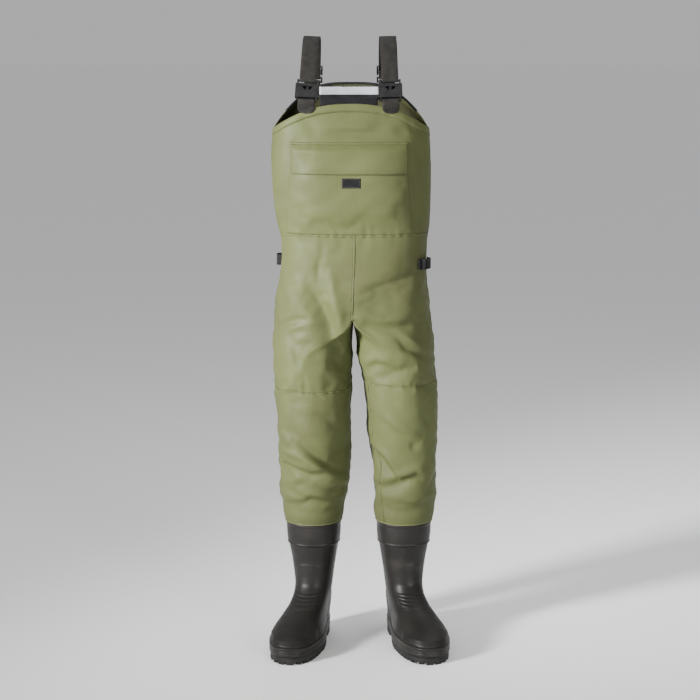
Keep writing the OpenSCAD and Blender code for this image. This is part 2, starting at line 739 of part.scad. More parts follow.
module weld_band(s) {
    color(black)
        tube([for (z = [hem_h, shaft_h]) [for (a = boot_turn) boot(s, facing(s, a), z, 2.4)]],
            [for (z = [hem_h, shaft_h]) [for (a = boot_turn) boot(s, facing(s, a), z, 0.1)]]);
}

front_bib();
back_bib();
thigh_front(RIGHT);  // right_thigh_front
thigh_front(LEFT);  // left_thigh_front
shin_front(RIGHT);  // right_shin_front
shin_front(LEFT);  // left_shin_front
leg_back(RIGHT);  // right_leg_back
leg_back(LEFT);  // left_leg_back
pocket_pouch();
pocket_flap();
label_patch();
inner_pocket();
back_tape();
back_binding();
right_belt_loop();
left_belt_loop();
front_tab(RIGHT);  // right_front_tab
front_tab(LEFT);  // left_front_tab
buckle_socket(RIGHT);  // right_buckle_socket
buckle_socket(LEFT);  // left_buckle_socket
buckle_plug(RIGHT);  // right_buckle_plug
buckle_plug(LEFT);  // left_buckle_plug
brace(RIGHT);  // right_brace
brace(LEFT);  // left_brace
adjuster(RIGHT);  // right_adjuster
adjuster(LEFT);  // left_adjuster
back_ring(RIGHT);  // right_back_ring
back_ring(LEFT);  // left_back_ring
back_tab(RIGHT);  // right_back_tab
back_tab(LEFT);  // left_back_tab
boot_shell(RIGHT);  // right_boot_shell
boot_shell(LEFT);  // left_boot_shell
boot_lining(RIGHT);  // right_boot_lining
boot_lining(LEFT);  // left_boot_lining
insole(RIGHT);  // right_insole
insole(LEFT);  // left_insole
outsole(RIGHT);  // right_outsole
outsole(LEFT);  // left_outsole
heel_block(RIGHT);  // right_heel_block
heel_block(LEFT);  // left_heel_block
rand(RIGHT);  // right_rand
rand(LEFT);  // left_rand
toe_cap(RIGHT);  // right_toe_cap
toe_cap(LEFT);  // left_toe_cap
heel_counter(RIGHT);  // right_heel_counter
heel_counter(LEFT);  // left_heel_counter
instep_pad(RIGHT);  // right_instep_pad
instep_pad(LEFT);  // left_instep_pad
cuff_band(RIGHT);  // right_cuff_band
cuff_band(LEFT);  // left_cuff_band
weld_band(RIGHT);  // right_weld_band
weld_band(LEFT);  // left_weld_band
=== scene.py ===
"""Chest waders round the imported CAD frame: nylon bib and trousers, elastic braces, rubber boots.

The wearer faces -Y. Shapes are worked out in millimetres, as in the CAD source, and become metres
when a mesh is made. "right" and "left" are the wearer's own.
"""
import math

import bmesh
import bpy
import numpy as np
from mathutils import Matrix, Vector
from mathutils.bvhtree import BVHTree


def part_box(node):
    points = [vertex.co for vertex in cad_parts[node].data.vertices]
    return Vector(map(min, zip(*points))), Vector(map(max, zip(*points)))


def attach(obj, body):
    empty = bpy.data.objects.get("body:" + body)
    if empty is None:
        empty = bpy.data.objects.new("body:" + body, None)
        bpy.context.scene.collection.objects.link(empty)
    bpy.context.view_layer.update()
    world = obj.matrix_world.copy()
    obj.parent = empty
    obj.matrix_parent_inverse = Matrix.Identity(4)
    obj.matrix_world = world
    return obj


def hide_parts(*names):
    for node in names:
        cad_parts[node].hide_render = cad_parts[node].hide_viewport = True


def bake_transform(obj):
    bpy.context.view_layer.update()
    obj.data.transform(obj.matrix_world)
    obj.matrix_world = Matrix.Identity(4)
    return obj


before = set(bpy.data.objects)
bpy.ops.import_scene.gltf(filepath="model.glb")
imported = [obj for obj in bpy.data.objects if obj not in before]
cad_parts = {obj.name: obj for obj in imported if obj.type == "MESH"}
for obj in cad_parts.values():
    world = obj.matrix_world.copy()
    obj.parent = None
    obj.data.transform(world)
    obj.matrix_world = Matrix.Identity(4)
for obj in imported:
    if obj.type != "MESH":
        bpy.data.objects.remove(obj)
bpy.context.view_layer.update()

MM = 0.001
SIDES = {"right": -1, "left": 1}


# ---- Small helpers ----
def smooth(w):
    c = np.clip(w, 0, 1)
    return c * c * (3 - 2 * c)


def mix(a, b, w):
    return a + (b - a) * w


def look(z, rows):
    """The value at height z from a table, along a smooth curve that never overshoots its rows."""
    x, y = np.array(rows, float).T
    z = np.clip(np.asarray(z, float), x[0], x[-1])
    step = np.diff(x)
    slope = np.diff(y) / step
    m = np.concatenate([[slope[0]], np.zeros(len(x) - 2), [slope[-1]]])
    for i in range(1, len(x) - 1):
        before, after = slope[i - 1], slope[i]
        if before * after > 0:
            m[i] = 2 * before * after / (before + after)
    k = np.clip(np.searchsorted(x, z, side="right") - 1, 0, len(x) - 2)
    t = (z - x[k]) / step[k]
    return (
        (2 * t**3 - 3 * t**2 + 1) * y[k]
        + (t**3 - 2 * t**2 + t) * step[k] * m[k]
        + (3 * t**2 - 2 * t**3) * y[k + 1]
        + (t**3 - t**2) * step[k] * m[k + 1]
    )


def unit(turn, square):
    """A point on a rounded square of half width 1: square 2 is a circle, more is squarer."""
    c, s = np.cos(np.radians(turn)), np.sin(np.radians(turn))
    r = (np.abs(c) ** square + np.abs(s) ** square) ** (-1 / square)
    return r * c, r * s


def noise3(points, size, seed=0):
    """Smooth noise from -1 to 1 at each point, made of a few crossing waves."""
    rng = np.random.default_rng(seed)
    total = np.zeros(len(points))
    for _ in range(7):
        direction = rng.normal(size=3)
        direction /= np.linalg.norm(direction)
        phase = points @ direction * 2 * math.pi / (size * rng.uniform(0.7, 1.5))
        total += np.sin(phase + rng.uniform(0, 6.3))
    return total / 4


# ---- Meshes ----
def add_piece(name, points, faces, material, body="garment", stands_for=(), slot=None, closed=True):
    """A mesh from points in millimetres, with its faces turned outwards, riding on a body."""
    mesh = bpy.data.meshes.new(name)
    mesh.from_pydata((np.asarray(points, float) * MM).tolist(), [], [list(map(int, f)) for f in faces])
    if closed:
        work = bmesh.new()
        work.from_mesh(mesh)
        bmesh.ops.recalc_face_normals(work, faces=work.faces)
        work.to_mesh(mesh)
        work.free()
    mesh.polygons.foreach_set("use_smooth", [True] * len(mesh.polygons))
    piece = bpy.data.objects.new(name, mesh)
    bpy.context.scene.collection.objects.link(piece)
    mesh.materials.append(material)
    if body:
        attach(piece, body)
    if stands_for:
        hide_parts(*stands_for)
    return piece


def grid_faces(rows, columns, wrap, start=0):
    faces = []
    last = columns if wrap else columns - 1
    for i in range(rows - 1):
        for j in range(last):
            a, b = start + i * columns + j, start + i * columns + (j + 1) % columns
            faces.append((a, b, b + columns, a + columns))
    return faces


def walled(outer, inner, wrap=False):
    """Points and faces of a closed sheet between two grids of the same shape."""
    rows, columns = outer.shape[:2]
    n = rows * columns
    points = np.concatenate([outer.reshape(-1, 3), inner.reshape(-1, 3)])
    faces = grid_faces(rows, columns, wrap)
    faces += [(d + n, c + n, b + n, a + n) for a, b, c, d in faces]
    last = columns if wrap else columns - 1
    for j in range(last):
        k = (j + 1) % columns
        faces.append((k, j, j + n, k + n))
        t = (rows - 1) * columns
        faces.append((t + j, t + k, t + k + n, t + j + n))
    if not wrap:
        for i in range(rows - 1):
            a, b = i * columns, (i + 1) * columns
            faces.append((a, b, b + n, a + n))
            a, b = a + columns - 1, b + columns - 1
            faces.append((b, a, a + n, b + n))
    return points, faces


def capped(grid):
    """Points and faces of a tube of closed rings, shut at both ends."""
    rows, columns = grid.shape[:2]
    faces = grid_faces(rows, columns, True)
    faces.append(tuple(range(columns - 1, -1, -1)))
    faces.append(tuple(range((rows - 1) * columns, rows * columns)))
    return grid.reshape(-1, 3), faces


def subdivide(piece, levels=1):
    piece.modifiers.new("smooth", "SUBSURF").levels = levels
    piece.modifiers["smooth"].render_levels = levels
    return piece


def round_edges(piece, width, angle=35, segments=2):
    bevel = piece.modifiers.new("round", "BEVEL")
    bevel.width = width * MM
    bevel.segments = segments
    bevel.limit_method = "ANGLE"
    bevel.angle_limit = math.radians(angle)
    bevel.harden_normals = False
    return piece


# ---- Materials ----
def new_material(name, colour, roughness, **values):
    material = bpy.data.materials.new(name)
    material.use_nodes = True
    shader = material.node_tree.nodes["Principled BSDF"]
    shader.inputs["Base Color"].default_value = (*colour, 1)
    shader.inputs["Roughness"].default_value = roughness
    for key, value in values.items():
        shader.inputs[key.replace("_", " ")].default_value = value
    return material, shader


def place(material):
    return material.node_tree.nodes.new("ShaderNodeTexCoord").outputs["Object"]


def noise_of(material, scale, detail=3):
    tree = material.node_tree
    node = tree.nodes.new("ShaderNodeTexNoise")
    node.inputs["Scale"].default_value = scale
    node.inputs["Detail"].default_value = detail
    tree.links.new(place(material), node.inputs["Vector"])
    return node.outputs["Fac"]


def wave_of(material, direction, period_mm, distortion=0.0):
    """Even bands across a direction, X, Y or Z."""
    tree = material.node_tree
    node = tree.nodes.new("ShaderNodeTexWave")
    node.bands_direction = direction
    node.inputs["Scale"].default_value = math.pi / (10 * period_mm * MM)
    node.inputs["Distortion"].default_value = distortion
    tree.links.new(place(material), node.inputs["Vector"])
    return node.outputs["Fac"]


def ramp_of(material, factor, stops):
    tree = material.node_tree
    node = tree.nodes.new("ShaderNodeValToRGB")
    elements = node.color_ramp.elements
    while len(elements) < len(stops):
        elements.new(0.5)
    for element, (at, colour) in zip(elements, stops):
        element.position = at
        element.color = (*colour, 1)
    tree.links.new(factor, node.inputs["Fac"])
    return node.outputs["Color"]


def grey(value):
    return (value, value, value)


def colour_by(material, shader, factor, stops):
    material.node_tree.links.new(ramp_of(material, factor, stops), shader.inputs["Base Color"])


def rough_by(material, shader, factor, low, high):
    stops = [(0.3, grey(low)), (0.7, grey(high))]
    material.node_tree.links.new(ramp_of(material, factor, stops), shader.inputs["Roughness"])


def bump_by(material, shader, layers):
    """Bumps one over another: each layer is a height, its depth in millimetres and its strength."""
    tree = material.node_tree
    normal = None
    for height, depth, strength in layers:
        node = tree.nodes.new("ShaderNodeBump")
        node.inputs["Distance"].default_value = depth * MM
        node.inputs["Strength"].default_value = strength
        tree.links.new(height, node.inputs["Height"])
        if normal:
            tree.links.new(normal, node.inputs["Normal"])
        normal = node.outputs["Normal"]
    tree.links.new(normal, shader.inputs["Normal"])


def weave_layers(material, period, depth, strength):
    return [(wave_of(material, axis, period), depth, strength) for axis in "XYZ"]


def nylon():
    """Coated olive nylon: close weave, a little shine, and a colour that drifts towards brown."""
    material, shader = new_material(
        "olive_nylon", (0.068, 0.075, 0.028), 0.7, Specular_IOR_Level=0.22,
    )
    colour_by(material, shader, noise_of(material, 4.5, 4),
              [(0.30, (0.056, 0.061, 0.022)), (0.50, (0.067, 0.075, 0.026)), (0.72, (0.077, 0.090, 0.030))])
    rough_by(material, shader, noise_of(material, 26, 3), 0.58, 0.74)
    bump_by(material, shader, weave_layers(material, 1.1, 0.12, 0.16)
            + [(noise_of(material, 16, 6), 7.0, 0.30), (noise_of(material, 55, 4), 1.5, 0.22),
               (noise_of(material, 700, 2), 0.1, 0.2)])
    return material


def nylon_lining():
    """The coated inside of the cloth: darker and duller."""
    material, shader = new_material("nylon_inside", (0.035, 0.035, 0.018), 0.85, Specular_IOR_Level=0.1)
    colour_by(material, shader, noise_of(material, 9, 3),
              [(0.35, (0.030, 0.030, 0.014)), (0.7, (0.045, 0.046, 0.022))])
    bump_by(material, shader, [(noise_of(material, 90, 3), 0.8, 0.2)])
    return material


def thread():
    material, shader = new_material("olive_thread", (0.13, 0.135, 0.06), 0.7)
    colour_by(material, shader, noise_of(material, 60, 2),
              [(0.3, (0.050, 0.053, 0.020)), (0.7, (0.078, 0.085, 0.032))])
    bump_by(material, shader, [(wave_of(material, "Z", 0.8, 1.0), 0.1, 0.3)])
    return material


def cloth_of(name, dark, light, period=1.2, roughness=0.85, sheen=0.02):
    """A plain woven or knitted cloth in one colour, with a little variation."""
    material, shader = new_material(name, light, roughness, Sheen_Weight=sheen, Sheen_Roughness=0.5,
                                    Specular_IOR_Level=0.15)
    colour_by(material, shader, noise_of(material, 40, 4), [(0.3, dark), (0.7, light)])
    bump_by(material, shader, weave_layers(material, period, 0.15, 0.25)
            + [(noise_of(material, 300, 2), 0.15, 0.25)])
    return material


def elastic():
    """Brace webbing: fine ribs along it and the stretch's cross ripple."""
    material, shader = new_material("brace_elastic", (0.035, 0.032, 0.028), 0.8, Specular_IOR_Level=0.15)
    colour_by(material, shader, noise_of(material, 70, 4),
              [(0.3, (0.011, 0.010, 0.009)), (0.7, (0.020, 0.0185, 0.0165))])
    bump_by(material, shader, [(wave_of(material, "X", 2.0), 0.35, 0.5),
                               (wave_of(material, "Z", 1.1), 0.2, 0.35)])
    return material


def plastic():
    material, shader = new_material("buckle_plastic", (0.01, 0.01, 0.0105), 0.42, Specular_IOR_Level=0.3)
    colour_by(material, shader, noise_of(material, 120, 3),
              [(0.3, (0.007, 0.007, 0.0073)), (0.75, (0.013, 0.013, 0.0134))])
    rough_by(material, shader, noise_of(material, 60, 3), 0.34, 0.5)
    bump_by(material, shader, [(noise_of(material, 1500, 2), 0.06, 0.35)])
    return material


def rubber():
    """Moulded boot rubber: dark warm grey, soft broad shine, faint bloom and mould texture."""
    material, shader = new_material("boot_rubber", (0.015, 0.0145, 0.0138), 0.42, Specular_IOR_Level=0.2)
    colour_by(material, shader, noise_of(material, 13, 5),
              [(0.30, (0.010, 0.0092, 0.0084)), (0.55, (0.014, 0.0128, 0.0116)),
               (0.78, (0.022, 0.0198, 0.0178))])
    rough_by(material, shader, noise_of(material, 30, 4), 0.36, 0.5)
    bump_by(material, shader, [(noise_of(material, 900, 2), 0.06, 0.3),
                               (noise_of(material, 24, 2), 0.6, 0.12)])
    return material


def tread_rubber():
    material, shader = new_material("tread_rubber", (0.015, 0.0146, 0.014), 0.62, Specular_IOR_Level=0.2)
    colour_by(material, shader, noise_of(material, 30, 5),
              [(0.3, (0.010, 0.0098, 0.0095)), (0.75, (0.022, 0.0212, 0.020))])
    bump_by(material, shader, [(noise_of(material, 500, 3), 0.15, 0.4)])
    return material


NYLON = nylon()
LINING = nylon_lining()
THREAD = thread()
DARK_CLOTH = cloth_of("inner_cloth", (0.004, 0.004, 0.0044), (0.008, 0.008, 0.009))
WHITE_TAPE = cloth_of("white_tape", (0.34, 0.35, 0.36), (0.46, 0.47, 0.48), 1.6, 0.5)
BLACK_WEB = cloth_of("black_webbing", (0.006, 0.006, 0.0065), (0.013, 0.013, 0.014), 1.6)
LABEL = cloth_of("label_weave", (0.005, 0.005, 0.0055), (0.010, 0.010, 0.011), 0.7)
LABEL_EDGE = cloth_of("label_border", (0.10, 0.10, 0.095), (0.16, 0.16, 0.155), 0.7)
ELASTIC = elastic()
PLASTIC = plastic()
RUBBER = rubber()
TREAD = tread_rubber()
BOOT_CLOTH = cloth_of("boot_knit", (0.02, 0.02, 0.022), (0.035, 0.035, 0.038), 1.5)
TAPE = cloth_of("weld_tape", (0.010, 0.010, 0.010), (0.020, 0.020, 0.0196), 2.0, 0.6)
PALE_EDGE = cloth_of("cut_edge", (0.085, 0.092, 0.040), (0.125, 0.133, 0.062), 0.9)


# ---- The garment's shape, as in the CAD source ----
WAIST, CROTCH, SPLIT, HEM = 1030, 830, 736, 305
FRONT_TOP, BACK_TOP, SIDE_TOP = 1339, 1385, 1280
SHAFT_TOP, HEM_OUT, HEM_BLEND = 335, 6, 380
MID_Y = 46
SEAM_GAP = 0.5
KNEE = {-1: 652, 1: 668}
TORSO_MID = [(736, -14.5), (861, -16), (1009, -12.5), (1106, -18.5), (1202, -20.5)]
TORSO_HALF = [(736, 193), (812, 188.5), (861, 184), (911, 176), (960, 174.5), (1009, 176.5), (1058, 185),
              (1106, 189.5), (1202, 191.5), (1290, 186.5), (1385, 172)]
TORSO_FRONT = [(736, 114), (861, 122), (960, 116), (1058, 120), (1202, 124), (1290, 120), (1339, 114)]
TORSO_BACK = [(736, 118), (861, 126), (960, 116), (1058, 118), (1202, 124), (1290, 116), (1385, 99)]
TORSO_SQUARE = [(736, 2.3), (830, 2.5), (1030, 2.8), (1200, 3.2)]
LEG_MID = {-1: [(305, -111), (357, -111), (484, -112.5), (648, -113.5), (736, -113)],
           1: [(305, 115.5), (357, 116), (484, 110.5), (574, 105), (648, 100), (736, 86.5)]}
LEG_HALF = {-1: [(305, 72), (357, 79.5), (484, 87.5), (574, 88.5), (648, 92.5), (736, 95)],
            1: [(305, 71.5), (357, 74), (484, 78.5), (574, 84.5), (648, 86), (736, 92.5)]}
LEG_DEEP = [(305, 75), (357, 80), (484, 90), (574, 96), (648, 102), (736, 112)]
LEG_Y = [(305, 64), (357, 60), (484, 50), (574, 44), (648, 42), (736, 46)]
LEG_SQUARE = 2.2


def torso(turn, z, out=0.0):
    """A point round the torso: 0 at the left side, 90 at the back, 270 at the front."""
    ux, uy = unit(turn, look(z, TORSO_SQUARE))
    deep = np.where(uy < 0, look(z, TORSO_FRONT), look(z, TORSO_BACK)) + out
    x = look(z, TORSO_MID) + (look(z, TORSO_HALF) + out) * ux
    return np.stack(np.broadcast_arrays(x, MID_Y + deep * uy, z), -1)


def top_edge(turn):
    """Height of the top edge: high at the front and higher at the back, low at the sides."""
    ux, uy = unit(turn, 3.2)
    front = FRONT_TOP - (FRONT_TOP - SIDE_TOP) * np.abs(ux) ** 2.4
    back = BACK_TOP - (BACK_TOP - SIDE_TOP) * np.abs(ux) ** 3.5
    return np.where(uy < 0, front, back)


def oval(side, turn, z, out):
    ux, uy = unit(turn, LEG_SQUARE)
    x = look(z, LEG_MID[side]) + (look(z, LEG_HALF[side]) + out) * ux
    y = look(z, LEG_Y) + (look(z, LEG_DEEP) + out) * uy
    return np.stack(np.broadcast_arrays(x, y, z), -1)


def half_torso(side, turn, z, out):
    """Half the torso, closed by a flat wall at its middle."""
    turn = np.mod(turn, 360)
    ring = torso(turn, z, out)
    inner = (turn < 90) | (turn > 270) if side < 0 else (turn > 90) & (turn < 270)
    front = turn > 180
    from_mid = np.where(front, np.abs(turn - 270), np.abs(turn - 90)) / 90
    deep = np.where(front, look(z, TORSO_FRONT), look(z, TORSO_BACK)) + out
    x = look(z, TORSO_MID) + side * (SEAM_GAP - out)
    y = MID_Y + np.where(front, -1, 1) * deep * (1 - from_mid)
    wall = np.stack(np.broadcast_arrays(x, y, z), -1)
    return np.where(inner[..., None], wall, ring)


def leg(side, turn, z, out=0.0):
    """A point round a leg: half the torso at the crotch, the boot's own shape at the hem."""
    turn, z = np.broadcast_arrays(np.asarray(turn, float), np.asarray(z, float))
    round_leg = oval(side, turn, z, out)
    hips = mix(half_torso(side, turn, z, out), round_leg, smooth((CROTCH - z) / (CROTCH - SPLIT))[..., None])
    boot_turn = 270 - turn if side < 0 else turn - 270
    hem = boot(side, boot_turn, np.minimum(z, SHAFT_TOP), HEM_OUT + out)
    hem[..., 2] = z
    shin = mix(round_leg, hem, smooth((HEM_BLEND - z) / (HEM_BLEND - SHAFT_TOP))[..., None])
    return np.where((z >= SPLIT)[..., None], hips, shin)


# ---- The boots' shape, as in the CAD source ----
HEEL_X = {-1: -94.5, 1: 91.5}
HEEL_Y = 142
TOE_OUT = {-1: 14, 1: 15}
FOOT_LEN, FOOT_W, SOLE, RUBBER_T = 322, 134, 17, 4
FOOT_BACK = [(0, 3), (17, 3), (42, 3), (80, 6), (110, 13), (140, 19), (200, 20), (245, 15),
             (303, 12), (335, 12)]
FOOT_FRONT = [(0, -5), (17, -3), (42, -3), (52, -9), (60, -19), (66, -36), (75, -68), (86, -99), (98, -126),
              (112, -150), (128, -170), (150, -183), (200, -186), (245, -179), (303, -174), (335, -174)]
HEEL_HALF = [(0, 39), (42, 40), (110, 43), (143, 46), (200, 54), (245, 61.5), (278, 64.5), (335, 65)]
BALL_HALF = [(0, -4), (17, -3), (42, -3), (52, -5), (60, -8), (66, -11), (75, -14), (86, -16),
             (98, -18), (143, -21)]
FOOT_BOW = [(0, 0), (80, 2), (205, 10), (322, 4)]
FOOT_SQUARE = [(0, 2.5), (66, 2.4), (120, 2.1)]


def in_foot(side, f, w, z):
    """A point in the foot's own frame: f forwards from the heel, w outwards from its middle line."""
    a = math.radians(TOE_OUT[side])
    x = HEEL_X[side] + side * (f * math.sin(a) + w * math.cos(a))
    y = HEEL_Y - f * math.cos(a) + w * math.sin(a)
    return np.stack(np.broadcast_arrays(x, y, z), -1)


def boot(side, turn, z, out=0.0, height=None):
    """A point round the boot: 0 at the toe, 90 on the outer side."""
    z = np.asarray(z, float)
    uf, uw = unit(turn, look(z, FOOT_SQUARE))
    back, front = look(z, FOOT_BACK), FOOT_LEN + look(z, FOOT_FRONT)
    f = (front + back) / 2 + ((front - back) / 2 + out) * uf
    share = smooth((f - 70) / 135) * (1 - smooth((z - 125) / 18))
    half = mix(look(z, HEEL_HALF), FOOT_W / 2 + look(z, BALL_HALF), share)
    w = look(f, FOOT_BOW) * (1 - smooth((z - 60) / 80)) + (half + out) * uw
    return in_foot(side, f, w, z if height is None else height)


# ---- The garment as one net of points, before it is cut into panels ----
AROUND = 120           # columns round the torso; a leg shares half of them
INSIDE = 30            # columns on the inside of a leg
HIP_ROWS, BIB_ROWS, SHIN_ROWS, THIGH_ROWS = 22, 34, 39, 18
ROWS = SHIN_ROWS + THIGH_ROWS
OUTER_HALF = AROUND // 2


def leg_turns(side):
    """Angles of a leg's columns, starting at the back middle (right leg) or front middle (left leg)."""
    first = 90 if side < 0 else 270
    outside = first + 3.0 * np.arange(OUTER_HALF + 1)
    inside = outside[-1] + 180 / INSIDE * np.arange(1, INSIDE)
    return np.mod(np.concatenate([outside, inside]), 360)


def build_net():
    """Points and indices of the net: torso rows from the crotch up, and each leg from its hem up."""
    points = []
    turns = 3.0 * np.arange(AROUND)
    torso_at = np.zeros((HIP_ROWS + BIB_ROWS + 1, AROUND), int)
    for i in range(HIP_ROWS + BIB_ROWS + 1):
        if i <= HIP_ROWS:
            z = np.full(AROUND, mix(CROTCH, WAIST, i / HIP_ROWS))
        else:
            z = mix(WAIST, top_edge(turns), (i - HIP_ROWS) / BIB_ROWS)
        torso_at[i] = len(points) + np.arange(AROUND)
        points.extend(torso(turns, z))
    legs = {}
    crotch_at = len(points) + np.arange(INSIDE - 1)
    seam_turns = leg_turns(-1)[OUTER_HALF + 1:]
    seam = half_torso(-1, seam_turns, np.full(INSIDE - 1, float(CROTCH)), 0.0)
    seam[:, 0] = look(CROTCH, TORSO_MID)
    points.extend(seam)
    for side in (-1, 1):
        turns_here = leg_turns(side)
        at = np.zeros((ROWS + 1, len(turns_here)), int)
        heights = np.concatenate([np.linspace(HEM, KNEE[side], SHIN_ROWS + 1),
                                  np.linspace(KNEE[side], CROTCH, THIGH_ROWS + 1)[1:]])
        for i, z in enumerate(heights[:-1]):
            at[i] = len(points) + np.arange(len(turns_here))
            points.extend(leg(side, turns_here, np.full(len(turns_here), z)))
        first = 30 if side < 0 else 90
        at[ROWS, :OUTER_HALF + 1] = torso_at[0, (first + np.arange(OUTER_HALF + 1)) % AROUND]
        at[ROWS, OUTER_HALF + 1:] = crotch_at if side < 0 else crotch_at[::-1]
        legs[side] = at
    return np.array(points), torso_at, legs


def net_faces(torso_at, legs):
    """Each face with the panel that it belongs to."""
    faces = []
    for i in range(HIP_ROWS + BIB_ROWS):
        for j in range(AROUND):
            k = (j + 1) % AROUND
            front = j >= OUTER_HALF
            if i >= HIP_ROWS:
                panel = "front_bib" if front else "back_bib"
            else:
                side = "right" if 30 <= j < 90 else "left"
                panel = side + ("_thigh_front" if front else "_leg_back")
            faces.append((panel, (torso_at[i, j], torso_at[i, k], torso_at[i + 1, k], torso_at[i + 1, j])))
    for name, side in SIDES.items():
        at = legs[side]
        turns = leg_turns(side)
        columns = len(turns)
        for i in range(ROWS):
            for j in range(columns):
                k = (j + 1) % columns
                step = np.mod(turns[k] - turns[j], 360)
                front = np.mod(turns[j] + step / 2, 360) > 180
                front_panel = "_shin_front" if i < SHIN_ROWS else "_thigh_front"
                panel = name + (front_panel if front else "_leg_back")
                faces.append((panel, (at[i, j], at[i, k], at[i + 1, k], at[i + 1, j])))
    return faces


# ---- Folds: lines over the front in (x, z), how deep, how wide, and their form ----
# "valley" is a groove, "ridge" a crest, and "step" a crest above the line with a hollow below it,
# or the other way up where the depth is negative.
FOLDS = [
    # the right thigh: one long hollow from the hip to the inside of the knee, with a crest beside it
    ([(-128, 925), (-82, 835), (-50, 725), (-25, 690)], 15, 22, "valley"),
    ([(-72, 965), (-60, 900), (-43, 806), (-30, 745)], 9, 15, "ridge"),
    ([(-105, 955), (-88, 952)], 5, 20, "valley"),
    ([(-172, 795), (-150, 806), (-118, 812)], 4, 8, "step"),
    ([(-172, 795), (-160, 765), (-150, 730)], 4, 9, "valley"),
    # the left thigh: creases that fan out from the crotch to the belt loop and the outer side
    ([(148, 944), (108, 926), (45, 908), (-10, 884)], 8, 9, "valley"),
    ([(146, 932), (90, 912), (40, 898), (0, 878)], 5, 8, "ridge"),
    ([(138, 918), (50, 896), (5, 870), (80, 878)], 5, 8, "valley"),
    ([(5, 835), (62, 820), (130, 826)], 6, 13, "step"),
    ([(-8, 820), (42, 796)], 5, 8, "valley"),
    ([(90, 800), (116, 772), (168, 740)], 7, 11, "step"),
    ([(22, 712), (38, 732), (80, 718)], 5, 9, "step"),
    ([(60, 690), (92, 708), (140, 716)], 4, 10, "valley"),
    # the right shin: a long slanting fold that overhangs a hollow, and small buckles round it
    ([(-162, 533), (-111, 488), (-72, 456), (-33, 430)], -12, 15, "step"),
    ([(-72, 478), (-28, 502)], 9, 17, "valley"),
    ([(-192, 512), (-155, 502), (-110, 480)], -6, 10, "step"),
    ([(-182, 488), (-125, 482)], 4, 8, "valley"),
    ([(-162, 366), (-120, 383), (-62, 372)], 8, 12, "step"),
    ([(-163, 420), (-137, 428)], 5, 9, "step"),
    ([(-162, 348), (-133, 330)], 4, 8, "valley"),
    ([(-168, 626), (-130, 630)], 4, 7, "valley"),
    ([(-178, 470), (-120, 452), (-70, 462)], 6, 10, "step"),
    ([(-100, 420), (-70, 404), (-38, 408)], 6, 9, "step"),
    ([(-176, 398), (-150, 384), (-120, 390)], 6, 9, "valley"),
    ([(-70, 350), (-95, 338), (-130, 346)], 5, 8, "step"),
    ([(-50, 560), (-80, 590), (-120, 600)], 5, 12, "valley"),
    # the left shin
    ([(172, 372), (140, 360), (104, 366)], 6, 9, "step"),
    ([(70, 352), (110, 344), (150, 352)], 5, 8, "step"),
    ([(150, 600), (176, 560)], 4, 9, "valley"),
    ([(34, 502), (54, 490), (88, 440)], 8, 10, "step"),
    ([(51, 411), (94, 432), (136, 450), (176, 420)], 8, 12, "step"),
    ([(54, 660), (101, 610)], 4, 9, "valley"),
    ([(57, 587), (138, 535)], 5, 11, "step"),
    ([(120, 517), (141, 526)], 5, 9, "valley"),
    ([(45, 397), (120, 414)], 5, 10, "valley"),
    # the bib: tension lines from the tabs, and the slack above the pocket
    ([(-126, 1305), (-104, 1262)], 4, 14, "valley"),
    ([(66, 1300), (24, 1276)], 4, 12, "valley"),
    ([(104, 1285), (92, 1262)], 4, 12, "valley"),
    ([(-92, 1281), (-20, 1279), (70, 1274)], 4, 7, "step"),
    ([(-70, 1266), (0, 1268), (80, 1264)], 3, 6, "valley"),
    ([(132, 1262), (150, 1180), (160, 1100)], 5, 16, "valley"),
    ([(118, 1240), (142, 1172), (150, 1120)], 4, 9, "ridge"),
    ([(112, 1300), (126, 1282), (158, 1272)], 4, 10, "valley"),
]


HEM_FLARE = 4.5        # how far the cloth stands out just above the leg hems


def fold_height(x, z, line, depth, width, form):
    """How far a fold moves the cloth out at each (x, z). It fades towards its two ends."""
    best = np.full(x.shape, 1e9)
    signed = np.zeros(x.shape)
    along = np.zeros(x.shape)
    line = np.array(line, float)
    lengths = np.linalg.norm(np.diff(line, axis=0), axis=1)
    total = lengths.sum()
    run = 0.0
    for (a, b), length in zip(zip(line[:-1], line[1:]), lengths):
        d = (b - a) / length
        px, pz = x - a[0], z - a[1]
        t = np.clip(px * d[0] + pz * d[1], 0, length)
        qx, qz = px - t * d[0], pz - t * d[1]
        distance = np.hypot(qx, qz)
        side = np.sign(d[0] * pz - d[1] * px) * np.sign(d[0] if abs(d[0]) > 1e-6 else 1)
        closer = distance < best
        best = np.where(closer, distance, best)
        signed = np.where(closer, side * distance, signed)
        along = np.where(closer, (run + t) / total, along)
        run += length
    s = signed / width
    fade = np.sin(math.pi * np.clip(along, 0.04, 0.96)) ** 0.6
    if form == "step":
        return 1.5 * depth * fade * 1.65 * s * np.exp(-np.abs(s) ** 1.6)
    sign = -1 if form == "valley" else 1
    return 1.35 * sign * depth * fade * np.exp(-np.abs(s) ** 1.3)


